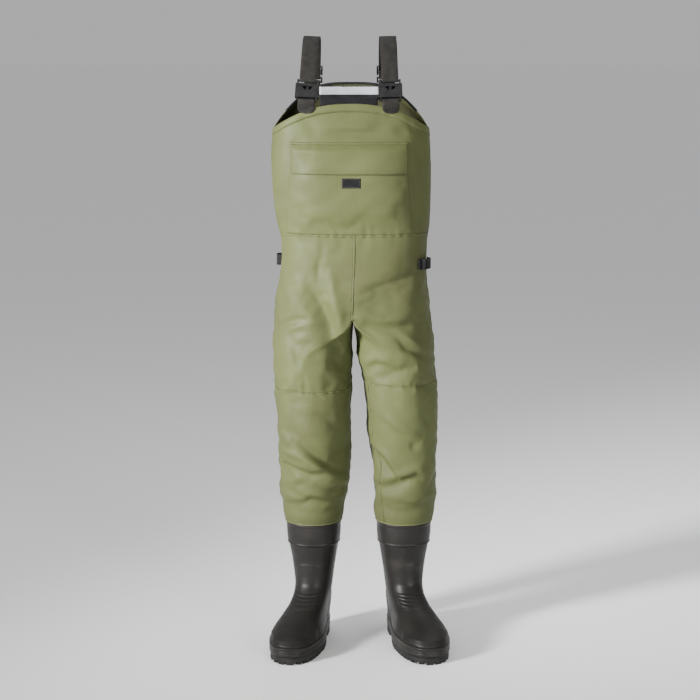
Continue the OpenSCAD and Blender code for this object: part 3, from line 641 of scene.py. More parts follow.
def sculpt(points):
    """Adds the folds and a gentle unevenness, along each point's own outward direction."""
    x, y, z = points.T
    out = np.zeros(len(points))
    middle = np.where(z > SPLIT, look(z, TORSO_MID),
                      np.where(x < -13, look(z, LEG_MID[-1]), look(z, LEG_MID[1])))
    depth_mid = np.where(z > SPLIT, MID_Y, look(z, LEG_Y))
    direction = np.stack([x - middle, (y - depth_mid) * 1.3, np.zeros(len(points))], -1)
    direction /= np.maximum(np.linalg.norm(direction, axis=1), 1)[:, None]
    in_front = smooth((depth_mid + 10 - y) / 40)
    for line, depth, width, form in FOLDS:
        out += in_front * fold_height(x, z, line, depth, width, form)
    behind = 1 - in_front
    slack = smooth((1010 - z) / 120) * smooth((z - HEM) / 60)
    out += slack * (1.6 + 2.2 * behind) * noise3(points * [1, 1, 1.4], 150, 3)
    out += slack * (0.8 + 1.2 * behind) * noise3(points * [1, 1, 2.2], 70, 5)
    out += slack * 3.2 * np.abs(noise3(points * [1, 1, 1.3], 230, 11))
    out += slack * 1.8 * np.abs(noise3(points * [1, 1, 1.5], 120, 12))
    out += (1 - slack) * smooth((z - 980) / 80) * (0.5 + 2.2 * behind) * noise3(points, 170, 9)
    out *= smooth((z - HEM - 2) / 80)
    out += HEM_FLARE * smooth((z - HEM) / 22) * (1 - smooth((z - 338) / 40))
    return points + direction * out[:, None]


SPARE_CLOTH = 0.028    # share by which the cloth grows, so that it buckles between its seams
SOFT_LOAD = 0.06       # the pressure inside, and the share of gravity that is left on
BIB_REACH, BACK_REACH, HIP_REACH, LEG_REACH = 1.5, 4.5, 8.0, 12.0


def drape(points, faces, held, cap, frames=24):
    """Cloth simulation over the sculpted net, with each point's movement capped."""
    mesh = bpy.data.meshes.new("net")
    mesh.from_pydata((points * MM).tolist(), [], [list(map(int, f)) for _, f in faces])
    net = bpy.data.objects.new("net", mesh)
    bpy.context.scene.collection.objects.link(net)
    pins = net.vertex_groups.new(name="held")
    for weight in (0.25, 0.5, 1.0):
        pins.add([int(i) for i in np.flatnonzero(np.isclose(held, weight))], weight, "REPLACE")
    cloth = net.modifiers.new("cloth", "CLOTH")
    settings = cloth.settings
    settings.quality = 5
    settings.mass = 0.2
    settings.tension_stiffness = 40
    settings.compression_stiffness = 40
    settings.shear_stiffness = 12
    settings.bending_stiffness = 0.4
    settings.air_damping = 4
    settings.vertex_group_mass = "held"
    settings.shrink_min = -SPARE_CLOTH
    settings.use_pressure = True
    settings.uniform_pressure_force = SOFT_LOAD
    settings.effector_weights.gravity = SOFT_LOAD
    cloth.point_cache.frame_end = frames
    scene = bpy.context.scene
    for f in range(1, frames + 1):
        scene.frame_set(f)
    evaluated = net.evaluated_get(bpy.context.evaluated_depsgraph_get())
    moved = np.zeros(len(points) * 3)
    evaluated.data.vertices.foreach_get("co", moved)
    scene.frame_set(1)
    bpy.data.objects.remove(net)
    shift = moved.reshape(-1, 3) / MM - points
    size = np.maximum(np.linalg.norm(shift, axis=1), 1e-6)
    return points + shift * (cap * np.tanh(size / cap) / size)[:, None]


def hold_and_cap(points, torso_at, legs):
    """How firmly each point is held, and how far the simulation may move it, in millimetres."""
    _, y, z = points.T
    held = np.zeros(len(points))
    sides = [torso_at[:, 0], torso_at[:, OUTER_HALF]]
    for side in (-1, 1):
        turns = leg_turns(side)
        for turn in (0, 180):
            sides.append(legs[side][:, int(np.argmin(np.abs(turns - turn)))])
        held[legs[side][SHIN_ROWS]] = 0.25
        held[legs[side][0]] = 1.0
        held[legs[side][1]] = 1.0
    for line in sides:
        held[line] = np.maximum(held[line], 0.25)
    held[torso_at[HIP_ROWS]] = 0.5
    held[torso_at[-1]] = 1.0
    held[torso_at[0]] = np.maximum(held[torso_at[0]], 0.25)
    front = y < MID_Y
    flank = np.clip(np.abs(y - MID_Y) / 70, 0, 1)
    back_cap = BIB_REACH + (BACK_REACH - BIB_REACH) * smooth((z - WAIST) / 120)
    hip_cap = BIB_REACH + (HIP_REACH - BIB_REACH) * smooth((WAIST - z) / 110)
    cap = np.where(z > WAIST, np.where(front, BIB_REACH, back_cap), hip_cap)
    cap = np.where(z < CROTCH, LEG_REACH, cap)
    cap = cap * (0.12 + 0.88 * flank) * smooth((z - HEM - 25) / 160) + 0.01
    return held, cap


def keep_apart(points, legs):
    """Neither leg's inner side may cross the middle."""
    for side in (-1, 1):
        inside = legs[side][:-1, OUTER_HALF + 1:].ravel()
        middle = look(points[inside, 2], TORSO_MID)
        limit = middle + side * SEAM_GAP
        x = points[inside, 0]
        near = points[inside, 2] > 640
        apart = np.maximum(x, limit) if side > 0 else np.minimum(x, limit)
        points[inside, 0] = np.where(near, apart, x)
    return points


net, torso_at, legs = build_net()
faces = net_faces(torso_at, legs)
net = sculpt(net)
held, cap = hold_and_cap(net, torso_at, legs)
net = drape(net, faces, held, cap)
net = keep_apart(net, legs)

surface = BVHTree.FromPolygons(net.tolist(), [tuple(int(i) for i in f) for _, f in faces])
IN_FRONT = -600.0      # depth from which rays look back at the cloth
BACKWARDS = Vector((0, 1, 0))
FORWARDS = [0, -1.0, 0]


def cast(x, z):
    """Depth of the cloth at (x, z), seen from the front."""
    start = Vector((float(x), IN_FRONT, float(z)))
    hit = surface.ray_cast(start, BACKWARDS)[0]
    return hit.y if hit else None


def front_of(x, z):
    """Depth of the bib's face at each (x, z), also just above its edge."""
    flat = []
    for a, b in zip(np.ravel(x), np.ravel(z)):
        y = None
        while y is None or y > 20:
            y = cast(a, b)
            b -= 3
        flat.append(y)
    return np.array(flat).reshape(np.shape(x))


# ---- Panels ----
CLOTH_T = 1.0


def net_normals():
    normals = np.zeros_like(net)
    for _, f in faces:
        a, b, c, d = (net[i] for i in f)
        n = np.cross(c - a, d - b)
        for i in f:
            normals[i] += n
    return normals / np.maximum(np.linalg.norm(normals, axis=1), 1e-9)[:, None]


NORMALS = net_normals()


def make_panel(panel):
    """One cut of cloth, with thickness, its lining inwards, and its area in square metres.

    The area is added up from the finished net, so it is no check on the size of the cloth.
    """
    mine = [f for name, f in faces if name == panel]
    used = sorted({int(i) for f in mine for i in f})
    new = {old: k for k, old in enumerate(used)}
    piece = add_piece(panel + "_cloth", net[used], [[new[int(i)] for i in f] for f in mine], NYLON,
                      stands_for=[panel], slot="shell_cloth", closed=False)
    piece.data.materials.append(LINING)
    subdivide(piece, 1)
    solid = piece.modifiers.new("cloth", "SOLIDIFY")
    solid.thickness = CLOTH_T * MM
    solid.offset = -1
    solid.material_offset = 1
    solid.material_offset_rim = 0
    area = 0.0
    for f in mine:
        a, b, c, d = (net[i] for i in f)
        area += np.linalg.norm(np.cross(c - a, d - b)) / 2
    return piece, area * MM * MM


# Width and length as cut, in metres, judged from the CAD's girths and heights
PANEL_CUTS = {
    "front_bib": (0.52, 0.31), "back_bib": (0.54, 0.36),
    "right_thigh_front": (0.33, 0.38), "left_thigh_front": (0.33, 0.37),
    "right_shin_front": (0.29, 0.36), "left_shin_front": (0.28, 0.37),
    "right_leg_back": (0.33, 0.73), "left_leg_back": (0.33, 0.73),
}
for panel, cut in PANEL_CUTS.items():
    cloth, area = make_panel(panel)


# ---- Seams and stitching ----
def run_along(line):
    """Distance from the start of a line to each of its points."""
    return np.concatenate([[0], np.cumsum(np.linalg.norm(np.diff(line, axis=0), axis=1))])


def resample_like(line, values, count):
    """Values given at a line's points, at count points spaced evenly along it."""
    lengths = run_along(line)
    at = np.linspace(0, lengths[-1], count)
    return np.stack([np.interp(at, lengths, np.asarray(values)[:, k]) for k in range(3)], -1)


def resample(line, step):
    """The same line with points an even step apart."""
    line = np.asarray(line, float)
    count = max(2, int(round(run_along(line)[-1] / step)) + 1)
    return resample_like(line, line, count)


def closed_ring(row):
    return np.append(row, row[0])


def facing_front(count):
    """Normals that all point forwards."""
    return np.tile(FORWARDS, (count, 1))


def frames_along(line, normals):
    """Tangent, outward and sideways directions along a line."""
    tangent = np.gradient(line, axis=0)
    tangent /= np.maximum(np.linalg.norm(tangent, axis=1), 1e-9)[:, None]
    normals = normals - (normals * tangent).sum(1)[:, None] * tangent
    normals /= np.maximum(np.linalg.norm(normals, axis=1), 1e-9)[:, None]
    return tangent, normals, np.cross(tangent, normals)


def seam_strip(line, normals, width, height):
    """A low rounded lap of cloth along a seam."""
    _, up, across = frames_along(line, normals)
    section = [(-0.5, -0.9), (-0.46, 0.5), (-0.3, 0.95), (0.3, 1.0), (0.46, 0.5), (0.5, -0.9)]
    grid = np.stack([line + across * (width * u) + up * (height * v) for u, v in section], 1)
    return capped(grid)


def stitches(line, normals, offset, pitch=4.6, length=3.1, thick=0.36, lift=1.05):
    """Points and faces of a row of stitches, each a short bead of thread."""
    points, made = [], []
    line = np.asarray(line, float)
    even = resample(line, pitch)
    normals = resample_like(line, normals, len(even))
    tangent, up, across = frames_along(even, normals)
    ring = [(1, 0), (0.5, 0.87), (-0.5, 0.87), (-1, 0), (-0.5, -0.87), (0.5, -0.87)]
    for p, t, n, s in zip(even, tangent, up, across):
        centre = p + s * offset + n * lift
        start = len(points)
        for at, size in ((-0.5, 0.45), (-0.3, 1.0), (0.3, 1.0), (0.5, 0.45)):
            for a, b in ring:
                spread = s * (thick * size * a)
                points.append(centre + t * (length * at) + spread + n * (thick * size * b))
        for i in range(3):
            for j in range(6):
                a, b = start + i * 6 + j, start + i * 6 + (j + 1) % 6
                made.append((a, b, b + 6, a + 6))
        made.append(tuple(start + j for j in range(5, -1, -1)))
        made.append(tuple(start + 18 + j for j in range(6)))
    return points, made


def join(parts):
    """Several (points, faces) as one."""
    points, made = [], []
    for p, f in parts:
        start = len(points)
        points.extend(np.asarray(p).tolist())
        made.extend([tuple(i + start for i in face) for face in f])
    return points, made


def indices(line):
    return net[line], NORMALS[line]


# The left shin's inner seam, in (x, z): it wanders round to the front and over the folds
LEFT_INSEAM = [(20, 668), (25, 610), (31, 549), (30, 501), (46, 485), (54, 456), (49, 420),
               (54, 370), (62, 309)]


def laid_on(line):
    """A line in (x, z) laid on the front of the cloth, with the cloth's own normals."""
    even = resample([(x, 0, z) for x, z in line], 6.0)
    points, normals = [], []
    for x, _, z in even:
        place_on, normal, _, _ = surface.ray_cast(Vector((x, IN_FRONT, z)), BACKWARDS)
        if place_on is None:
            continue
        points.append(place_on)
        normals.append(normal if normal.y < 0 else -normal)
    return np.array(points), np.array(normals)


def seam_lines():
    """Every long seam of the garment: its name, its points and normals, and its width."""
    lines = []
    for name, side in SIDES.items():
        turns = leg_turns(side)
        outer = int(np.argmin(np.abs(turns - (180 if side < 0 else 0))))
        inner = int(np.argmin(np.abs(turns - (0 if side < 0 else 180))))
        torso_column = OUTER_HALF if side < 0 else 0
        out_line = np.concatenate([legs[side][:-1, outer], torso_at[:, torso_column]])
        lines.append((name + "_side_seam", *indices(out_line), 5.0))
        first = SHIN_ROWS if side > 0 else 0
        lines.append((name + "_inseam", *indices(legs[side][first:, inner]), 4.5))
        front = [j for j in range(len(turns)) if 179.9 < turns[j] <= 360 or turns[j] == 0]
        front.sort(key=lambda j: turns[j] if turns[j] > 0 else 360)
        lines.append((name + "_knee_seam", *indices(legs[side][SHIN_ROWS, front]), 4.5))
    lines.append(("left_shin_inseam", *laid_on(LEFT_INSEAM), 4.0))
    lines.append(("waist_seam", *indices(closed_ring(torso_at[HIP_ROWS])), 6.0))
    lines.append(("front_rise_seam", *indices(torso_at[:HIP_ROWS + 1, 90]), 4.5))
    lines.append(("back_rise_seam", *indices(torso_at[:HIP_ROWS + 1, 30]), 4.5))
    return lines


for name, line, normals, width in seam_lines():
    even = resample(line, 4.0)
    points, made = seam_strip(even, resample_like(line, normals, len(even)), width, 1.2)
    add_piece(name, points, made, NYLON, slot="shell_cloth")
    points, made = join([stitches(line, normals, k * (width / 2 - 1.2)) for k in (-1, 1)])
    add_piece(name + "_stitches", points, made, THREAD, slot="shell_cloth")


def top_hem():
    """The turned top edge: a rolled fold of cloth."""
    line, normals = indices(closed_ring(torso_at[-1]))
    even = resample(line, 4.0)
    across = resample_like(line, normals, len(even))
    across[:, 2] = 0
    across /= np.linalg.norm(across, axis=1)[:, None]
    up = np.array([0, 0, 1.0])
    section = [(1.1, -17.5), (1.2, -9), (1.1, -2), (0.7, 0.6), (-0.4, 1.3), (-1.5, 0.7), (-2.0, -2),
               (-2.0, -9), (-1.7, -17.5)]
    grid = np.stack([even + across * u + up * v for u, v in section], 1)
    # the hem's face follows the cloth's own slope below the edge
    lean = net[closed_ring(torso_at[-3])] - line
    lean = resample_like(line, lean / np.maximum(np.abs(lean[:, 2:3]), 1), len(even))
    for k, (_, v) in enumerate(section):
        if v < 0:
            grid[:, k, :2] += lean[:, :2] * -v
    return grid


add_piece("top_hem", *capped(top_hem()), NYLON, slot="shell_cloth")
add_piece("top_hem_stitches", *stitches(*indices(closed_ring(torso_at[-3])), 0, lift=1.0), THREAD,
          slot="shell_cloth")


def leg_hem(name, side):
    """The raw lower edge of a leg, paler than the cloth, over the boot."""
    line, normals = indices(closed_ring(legs[side][0]))
    normals[:, 2] = 0
    even = resample(line, 3.0)
    out = resample_like(line, normals, len(even))
    out /= np.linalg.norm(out, axis=1)[:, None]
    section = [(0.4, 1.6), (0.8, 0.4), (0.5, -1.2), (-0.6, -1.5), (-1.4, -0.9), (-1.4, 1.6)]
    grid = np.stack([even + out * u + np.array([0, 0, v]) for u, v in section], 1)
    add_piece(name + "_leg_edge", *capped(grid), PALE_EDGE, slot="shell_cloth")
    row = closed_ring(legs[side][1])
    add_piece(name + "_leg_edge_stitches", *stitches(*indices(row), 0, lift=0.5), THREAD,
              slot="shell_cloth")


for name, side in SIDES.items():
    leg_hem(name, side)


# ---- Pocket ----
POCKET_MID, POUCH_W, FLAP_W = -25, 152, 138
POUCH_BASE, POUCH_TOP, POUCH_OUT = WAIST + 2, 1226, 12
FLAP_TOP, FLAP_D = 1246, 70
MOUTH_SHARE = 0.6


def bulge(u, v):
    return (1 - np.abs(u) ** 4) * smooth(v * 3) * mix(1, MOUTH_SHARE, smooth(2 * v - 1))


def slack_of(x, z, size, seed):
    points = np.stack([np.ravel(x), np.ravel(z) * 1.6, np.zeros(np.size(x))], -1)
    return noise3(points, size, seed).reshape(np.shape(x))


def pouch_grid(columns=64, rows=42):
    u, v = np.meshgrid(np.linspace(-1, 1, columns), np.linspace(0, 1, rows))
    z = mix(POUCH_BASE, POUCH_TOP, v)
    x = POCKET_MID + u * mix(POUCH_W, FLAP_W - 2, v)
    edge = (1 - smooth((np.abs(u) - 0.86) / 0.14)) * smooth(v * 5)
    sag = 2.4 * slack_of(x * 0.6, z, 95, 21) + 1.2 * slack_of(x * 0.7, z, 48, 22)
    y = front_of(x, z) - 1.2 - POUCH_OUT * bulge(u, v) - edge * sag
    return x, y, z


px, py, pz = pouch_grid()
pouch_outer = np.stack([px, py, pz], -1)
pouch_inner = pouch_outer + [0, 1.1, 0]
pouch = add_piece("pocket_pouch_cloth", *walled(pouch_outer, pouch_inner), NYLON,
                  stands_for=["pocket_pouch"], slot="shell_cloth")


def edge_of(grid, inset):
    """The two upright sides of a patch, moved in from its edge, as lines with normals."""
    lines = []
    for column, sign in ((0, 1), (-1, -1)):
        line = grid[:, column] + [sign * inset, 0, 0]
        lines.append((line, facing_front(len(line))))
    return lines


pouch_sewing = [stitches(line, normals, 0, lift=0.35) for line, normals in edge_of(pouch_outer, 2.5)]
pouch_sewing += [stitches(line, normals, 0, lift=0.35) for line, normals in edge_of(pouch_outer, 7.5)]
pouch_sewing.append(stitches(pouch_outer[-3], facing_front(64), 0, lift=0.3))
add_piece("pocket_pouch_stitches", *join(pouch_sewing), THREAD, slot="shell_cloth")


def flap_surface(u, v):
    z = FLAP_TOP - FLAP_D * v
    x = POCKET_MID + u * FLAP_W
    pouch_v = np.clip((z - POUCH_BASE) / (POUCH_TOP - POUCH_BASE), 0, 1)
    over = POUCH_OUT * bulge(u, pouch_v) + 5.2
    sag = 2.0 * slack_of(x * 0.45, z * 1.4, 62, 31) * smooth(v * 3)
    y = front_of(x, z) - 1.2 - mix(1.6, over, smooth(v * 4)) - sag * (1 - np.abs(u) ** 6)
    return np.stack([x, y, z], -1)


def flap_piece():
    """The flap: two layers with a fold above its hinge line."""
    u, v = np.meshgrid(np.linspace(-1, 1, 64), np.linspace(1, 0, 20))
    outer = flap_surface(u, v)
    lip = np.minimum(1, np.minimum((1 - np.abs(u)) * FLAP_W, (1 - v) * FLAP_D) / 1.6)[..., None]
    inner = outer + np.array([0, 1.0, 0]) * (0.7 + 0.9 * lip)
    outer = outer + np.array([0, 0.5, 0]) * (1 - lip)
    piece = add_piece("pocket_flap_cloth", *walled(outer, inner), NYLON, body=None,
                      stands_for=["pocket_flap"], slot="shell_cloth")
    lines = [flap_surface(np.linspace(-0.97, 0.97, 60), np.full(60, at)) for at in (0.955, 0.88, 0.09)]
    lines += [flap_surface(np.full(20, at), np.linspace(0.95, 0.08, 20)) for at in (-0.97, 0.97)]
    rows = [stitches(line, facing_front(len(line)), 0, lift=0.3) for line in lines]
    sewing = add_piece("pocket_flap_stitches", *join(rows), THREAD, body=None, slot="shell_cloth")
    return piece, sewing


flap, flap_sewing = flap_piece()
for piece in (flap, flap_sewing):
    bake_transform(piece)


def flap_welt():
    """The piped edge that covers the flap's top seam."""
    u = np.linspace(-1.01, 1.01, 70)
    x = POCKET_MID + u * FLAP_W
    z = np.full(70, FLAP_TOP + 1.5)
    line = np.stack([x, front_of(x, z) - 1.6, z], -1)
    return seam_strip(line, facing_front(70), 6.5, 3.2)


add_piece("pocket_welt", *flap_welt(), NYLON, slot="shell_cloth")


def label_piece():
    """A blank woven label: a dark field, a thin paler border, and a sewn edge."""
    low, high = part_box("label_patch")
    x0, x1, z0, z1 = low.x / MM, high.x / MM, low.z / MM, high.z / MM
    x, z = np.meshgrid(np.linspace(x0, x1, 24), np.linspace(z0, z1, 14))
    y = front_pouch(x, z)
    edge = np.minimum(np.minimum(x - x0, x1 - x), np.minimum(z - z0, z1 - z))
    outer = np.stack([x, y - 0.5 - 0.7 * smooth(edge / 1.5), z], -1)
    inner = np.stack([x, y - 0.25, z], -1)
    add_piece("label_cloth", *walled(outer, inner), LABEL, stands_for=["label_patch"], slot="label")
    x0, x1, z0, z1 = x0 + 2.5, x1 - 2.5, z0 + 2.5, z1 - 2.5
    corners = [(x0, z0), (x1, z0), (x1, z1), (x0, z1), (x0, z0)]
    loop = resample([(a, 0, b) for a, b in corners], 1.5)
    loop[:, 1] = front_pouch(loop[:, 0], loop[:, 2]) - 1.2
    rows = stitches(loop, facing_front(len(loop)), 0, 2.4, 1.7, 0.22, 0.1)
    add_piece("label_border", *rows, LABEL_EDGE, slot="label")


pouch_tree = BVHTree.FromPolygons(pouch_outer.reshape(-1, 3).tolist(), grid_faces(42, 64, False))


def front_pouch(x, z):
    flat = []
    for a, b in zip(np.ravel(x), np.ravel(z)):
        hit = pouch_tree.ray_cast(Vector((float(a), IN_FRONT, float(b))), BACKWARDS)[0]
        flat.append(hit.y if hit else -90.0)
    return np.array(flat).reshape(np.shape(x))


label_piece()


# ---- Inside the bib ----
def inside_torso(x, z, table, clear):
    """How far the torso's inside is from its middle depth at (x, z), less a clearance."""
    square = look(z, TORSO_SQUARE)
    ux = np.abs(x - look(z, TORSO_MID)) / (look(z, TORSO_HALF) - 5)
    return (look(z, table) - clear) * (1 - ux**square) ** (1 / square)


def inner_strip(name, node, material, slot, behind, thick, lip):
    """A patch that lies inside the front or back panel, as wide and high as its CAD solid."""
    low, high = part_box(node)
    x0, x1, z0, z1 = low.x / MM, high.x / MM, low.z / MM, high.z / MM
    x, z = np.meshgrid(np.linspace(x0, x1, 40), np.linspace(z0, z1, 26))
    table = TORSO_BACK if behind else TORSO_FRONT
    sign = 1 if behind else -1
    y = MID_Y + sign * inside_torso(x, z, table, 5.2)
    edge = np.minimum(np.minimum(x - x0, x1 - x), np.minimum(z - z0, z1 - z))
    body = thick * (0.5 + 0.5 * smooth(edge / 2))
    roll = lip * np.exp(-((z1 - 4 - z) / 4.5) ** 2)
    face = np.stack([x, y - sign * (body + roll), z], -1)
    back = np.stack([x, y, z], -1)
    return add_piece(name, *walled(face, back), material, stands_for=[node], slot=slot)


inside = inner_strip("inner_pocket_cloth", "inner_pocket", DARK_CLOTH, "inner_cloth", False, 1.4, 1.6)
# The CAD's pocket was later narrowed to 136 mm: this width is out of date
tape = inner_strip("back_tape_strip", "back_tape", WHITE_TAPE, "white_tape", True, 1.2, 0.0)


def tape_binding_and_shade_band():
    """A thin dark binding above the white tape, and below it a wider dark band of painted shade, put where
    the shadow under the tape falls.
    """
    low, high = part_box("back_tape")
    parts = []
    # The first band, 12 mm wide under the tape, is painted shade; the second is the binding above the tape.
    for z, width in ((low.z / MM - 5.5, 12.0), (high.z / MM + 0.5, 2.6)):
        x = np.linspace(low.x / MM, high.x / MM, 40)
        zs = np.full(40, z)
        y = MID_Y + inside_torso(x, zs, TORSO_BACK, 5.5)
        line = np.stack([x, y - 1.0, zs], -1)
        parts.append(seam_strip(line, facing_front(40), width, 1.1))
    return join(parts)


# Binding above the white tape, and a dark band of painted shade below it.
add_piece("back_tape_binding_and_shade_band", *tape_binding_and_shade_band(), BLACK_WEB, slot="black_webbing")


def binding():
    """Black binding over the middle of the back panel's edge."""
    columns = np.arange(13, 48)
    line = net[torso_at[-1, columns]]
    normals = NORMALS[torso_at[-1, columns]].copy()
    normals[:, 2] = 0
    normals /= np.linalg.norm(normals, axis=1)[:, None]
    even = resample(line, 4.0)
    out = resample_like(line, normals, len(even))
    section = [(1.5, -3.5), (1.8, -0.5), (1.3, 2.2), (-0.4, 3.0), (-2.0, 2.2), (-2.5, -0.5), (-2.3, -3.5)]
    grid = np.stack([even + out * u + np.array([0, 0, v]) for u, v in section], 1)
    return capped(grid)


add_piece("back_binding_strip", *binding(), BLACK_WEB, stands_for=["back_binding"], slot="black_webbing")


# ---- Webbing ----
def ribbon(path, across, width, thick, ends=None):
    """Flat webbing with rounded edges along a path. ends(s) narrows it at distance s from its start."""
    path = np.asarray(path, float)
    tangent = np.gradient(path, axis=0)
    tangent /= np.linalg.norm(tangent, axis=1)[:, None]
    up = np.cross(tangent, across)
    up /= np.linalg.norm(up, axis=1)[:, None]
    half = np.full(len(path), width / 2) if ends is None else np.minimum(width / 2, ends(run_along(path)))
    upper = [(1.0, 0.0), (0.985, 0.3), (0.93, 0.5), (0.5, 0.5), (0.0, 0.5), (-0.5, 0.5), (-0.93, 0.5),
             (-0.985, 0.3)]
    cross = upper + [(-u, -v) for u, v in upper]
    grid = np.stack([path + across * (half * u)[:, None] + up * (thick * v) for u, v in cross], 1)
    return grid


BRACE_BASE = {-1: (-126, -68.4, 1337), 1: (73, -69.8, 1337)}
BRACE_LEAN = {-1: 2.9, 1: -1.3}
BRACE_YAW = {-1: -2.1, 1: 1.2}
REAR_Y = {-1: 213.4, 1: 215.9}
REAR_Z, BRACE_TOP, TILT = 48, 1497, 27
WEB_W, WEB_T, BAR_OFF = 40, 2, 3
SOCKET_BAR, PLUG_BAR, RING_BAR, RING_LOW, ADJUSTER, LAP = 14, 64, 17, 6, 36, 22
TAB_DROP = 20
TILT_SIN, TILT_COS = math.sin(math.radians(TILT)), math.cos(math.radians(TILT))


def brace_matrix(side):
    lean, yaw = math.radians(BRACE_LEAN[side]), math.radians(BRACE_YAW[side])
    turn_y = np.array([[math.cos(lean), 0, math.sin(lean)], [0, 1, 0], [-math.sin(lean), 0, math.cos(lean)]])
    turn_z = np.array([[math.cos(yaw), -math.sin(yaw), 0], [math.sin(yaw), math.cos(yaw), 0], [0, 0, 1]])
    return turn_z @ turn_y


def in_brace(side, path):
    """Points of the brace's own upright plane (depth, height), in the row frame."""
    flat = np.stack([np.zeros(len(path)), *np.asarray(path, float).T], -1)
    return flat @ brace_matrix(side).T + BRACE_BASE[side]


def on_front(y, d):
    return (y * TILT_COS + d * TILT_SIN, d * TILT_COS - y * TILT_SIN)


def on_back(side, y, d):
    return (REAR_Y[side] + y * TILT_COS - d * TILT_SIN, REAR_Z + d * TILT_COS + y * TILT_SIN)


def half_turn(centre, first, last, steps=9):
    turns = np.radians(np.linspace(first, last, steps))
    return [(centre[0] + BAR_OFF * math.cos(a), centre[1] + BAR_OFF * math.sin(a)) for a in turns]


def shoulder_arc(side):
    slope = TILT_SIN / TILT_COS
    k = (1 - TILT_SIN) / (2 * TILT_COS)
    reach = REAR_Y[side] + REAR_Z * slope
    arc_z = (BRACE_TOP - 1337 - k * reach) / (1 - 2 * k * slope)
    radius = (reach - 2 * arc_z * slope) / (2 * TILT_COS)
    centre = (arc_z * slope + radius * TILT_COS, arc_z - radius * TILT_SIN)
    turns = np.radians(np.linspace(180 - TILT, TILT, 24))
    return [(centre[0] + radius * math.cos(a), centre[1] + radius * math.sin(a)) for a in turns]


def brace_piece(name, side):
    """One brace, and the two ends of an upright line through it.

    The line drops straight down, so a bend about it would go by height alone and the rear run would
    follow the plug as well as the front run. That is a known fault.
    """
    path = [on_front(2 * BAR_OFF, PLUG_BAR + LAP), on_front(2 * BAR_OFF, PLUG_BAR + 10)]
    path += half_turn(on_front(BAR_OFF, PLUG_BAR), -TILT, -TILT - 180)
    path += [on_front(0, PLUG_BAR + 10), on_front(0, PLUG_BAR + 30)] + shoulder_arc(side)
    path += [on_back(side, 0, ADJUSTER + 20), on_back(side, 0, ADJUSTER)]
    path += half_turn(on_back(side, -BAR_OFF, RING_BAR), TILT, TILT - 180)
    path += [on_back(side, -2 * BAR_OFF, ADJUSTER - 8), on_back(side, -2 * BAR_OFF, ADJUSTER + 1)]
    line = resample(in_brace(side, path), 3.0)
    across = brace_matrix(side) @ np.array([1.0, 0, 0])
    piece = add_piece(name + "_brace_webbing", *capped(ribbon(line, across, WEB_W, WEB_T)), ELASTIC,
                      body=None, stands_for=[name + "_brace"], slot="brace_webbing")
    top = in_brace(side, [(REAR_Y[side] / 2, BRACE_TOP - 1337)])[0]
    low = in_brace(side, [on_front(0, PLUG_BAR)])[0]
    start, end = (top[0], low[1], top[2]), (low[0], low[1], low[2] + 15)
    return piece, start, end


def sewn_box(side, centre, width, height, run, up):
    """Box stitching: a rectangle with a cross, on webbing."""
    across = brace_matrix(side) @ np.array([1.0, 0, 0])
    corners = [(-1, -1), (1, -1), (1, 1), (-1, 1), (-1, -1)]
    lines = [corners, [(-1, -1), (1, 1)], [(-1, 1), (1, -1)]]
    parts = []
    for line in lines:
        points = [centre + across * (a * width / 2) + run * (b * height / 2) for a, b in line]
        even = resample(points, 1.5)
        parts.append(stitches(even, np.tile(up, (len(even), 1)), 0, 2.6, 1.9, 0.3, 0.25))
    return parts


def front_tab(name, side):
    """The sewn tab: a round end on the bib's face, then up and round the socket's bar."""
    path = [(0, -TAB_DROP), (0, -8), (0, 0)]
    path += half_turn(on_front(BAR_OFF, SOCKET_BAR), 180 - TILT, -TILT)
    path += [on_front(2 * BAR_OFF, 3)]
    line = resample(in_brace(side, path), 1.5)
    across = brace_matrix(side) @ np.array([1.0, 0, 0])
    radius = WEB_W / 2
    grid = ribbon(line, across, WEB_W, WEB_T,
                  lambda s: 3 + (radius - 3) * np.sqrt(np.clip(1 - ((13 - s) / 13).clip(0, 1) ** 2, 0, 1)))
    x, z = grid[..., 0], grid[..., 2]
    share = smooth((1337 - z) / 14) * (np.arange(len(line)) < 18)[:, None]
    lie = front_of(x, np.minimum(z, 1322)) - 1.7
    middle = grid[..., 1].mean(axis=1, keepdims=True)
    grid[..., 1] = mix(grid[..., 1], lie + (grid[..., 1] - middle), share)
    add_piece(name + "_front_tab_webbing", *capped(grid), ELASTIC, stands_for=[name + "_front_tab"],
              slot="brace_webbing")
    matrix = brace_matrix(side)
    centre = in_brace(side, [(-0.2, -6)])[0] + matrix @ np.array([0, -1.1, 0])
    parts = sewn_box(side, centre, 30, 14, matrix @ np.array([0, 0, 1.0]), matrix @ np.array([0, -1.0, 0]))
    add_piece(name + "_front_tab_stitches", *join(parts), BLACK_WEB, slot="brace_webbing")


def back_tab(name, side):
    path = [(REAR_Y[side] + 8.8, REAR_Z - 44), (REAR_Y[side], REAR_Z)]
    path += half_turn(on_back(side, -BAR_OFF, RING_LOW), TILT, TILT + 180)
    path += [on_back(side, -2 * BAR_OFF, 3)]
    line = resample(in_brace(side, path), 2.0)
    across = brace_matrix(side) @ np.array([1.0, 0, 0])
    add_piece(name + "_back_tab_webbing", *capped(ribbon(line, across, WEB_W, WEB_T)), ELASTIC,
              stands_for=[name + "_back_tab"], slot="brace_webbing")
    matrix = brace_matrix(side)
    centre = in_brace(side, [(REAR_Y[side] + 6, REAR_Z - 30)])[0] + matrix @ np.array([0, 1.1, 0])
    run = matrix @ np.array([0, -0.196, 0.98])
    parts = sewn_box(side, centre, 32, 20, run, matrix @ np.array([0, 0.98, 0.196]))
    add_piece(name + "_back_tab_stitches", *join(parts), BLACK_WEB, slot="brace_webbing")


for name, side in SIDES.items():
    brace, start, end = brace_piece(name, side)
    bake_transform(brace)
    front_tab(name, side)
    back_tab(name, side)


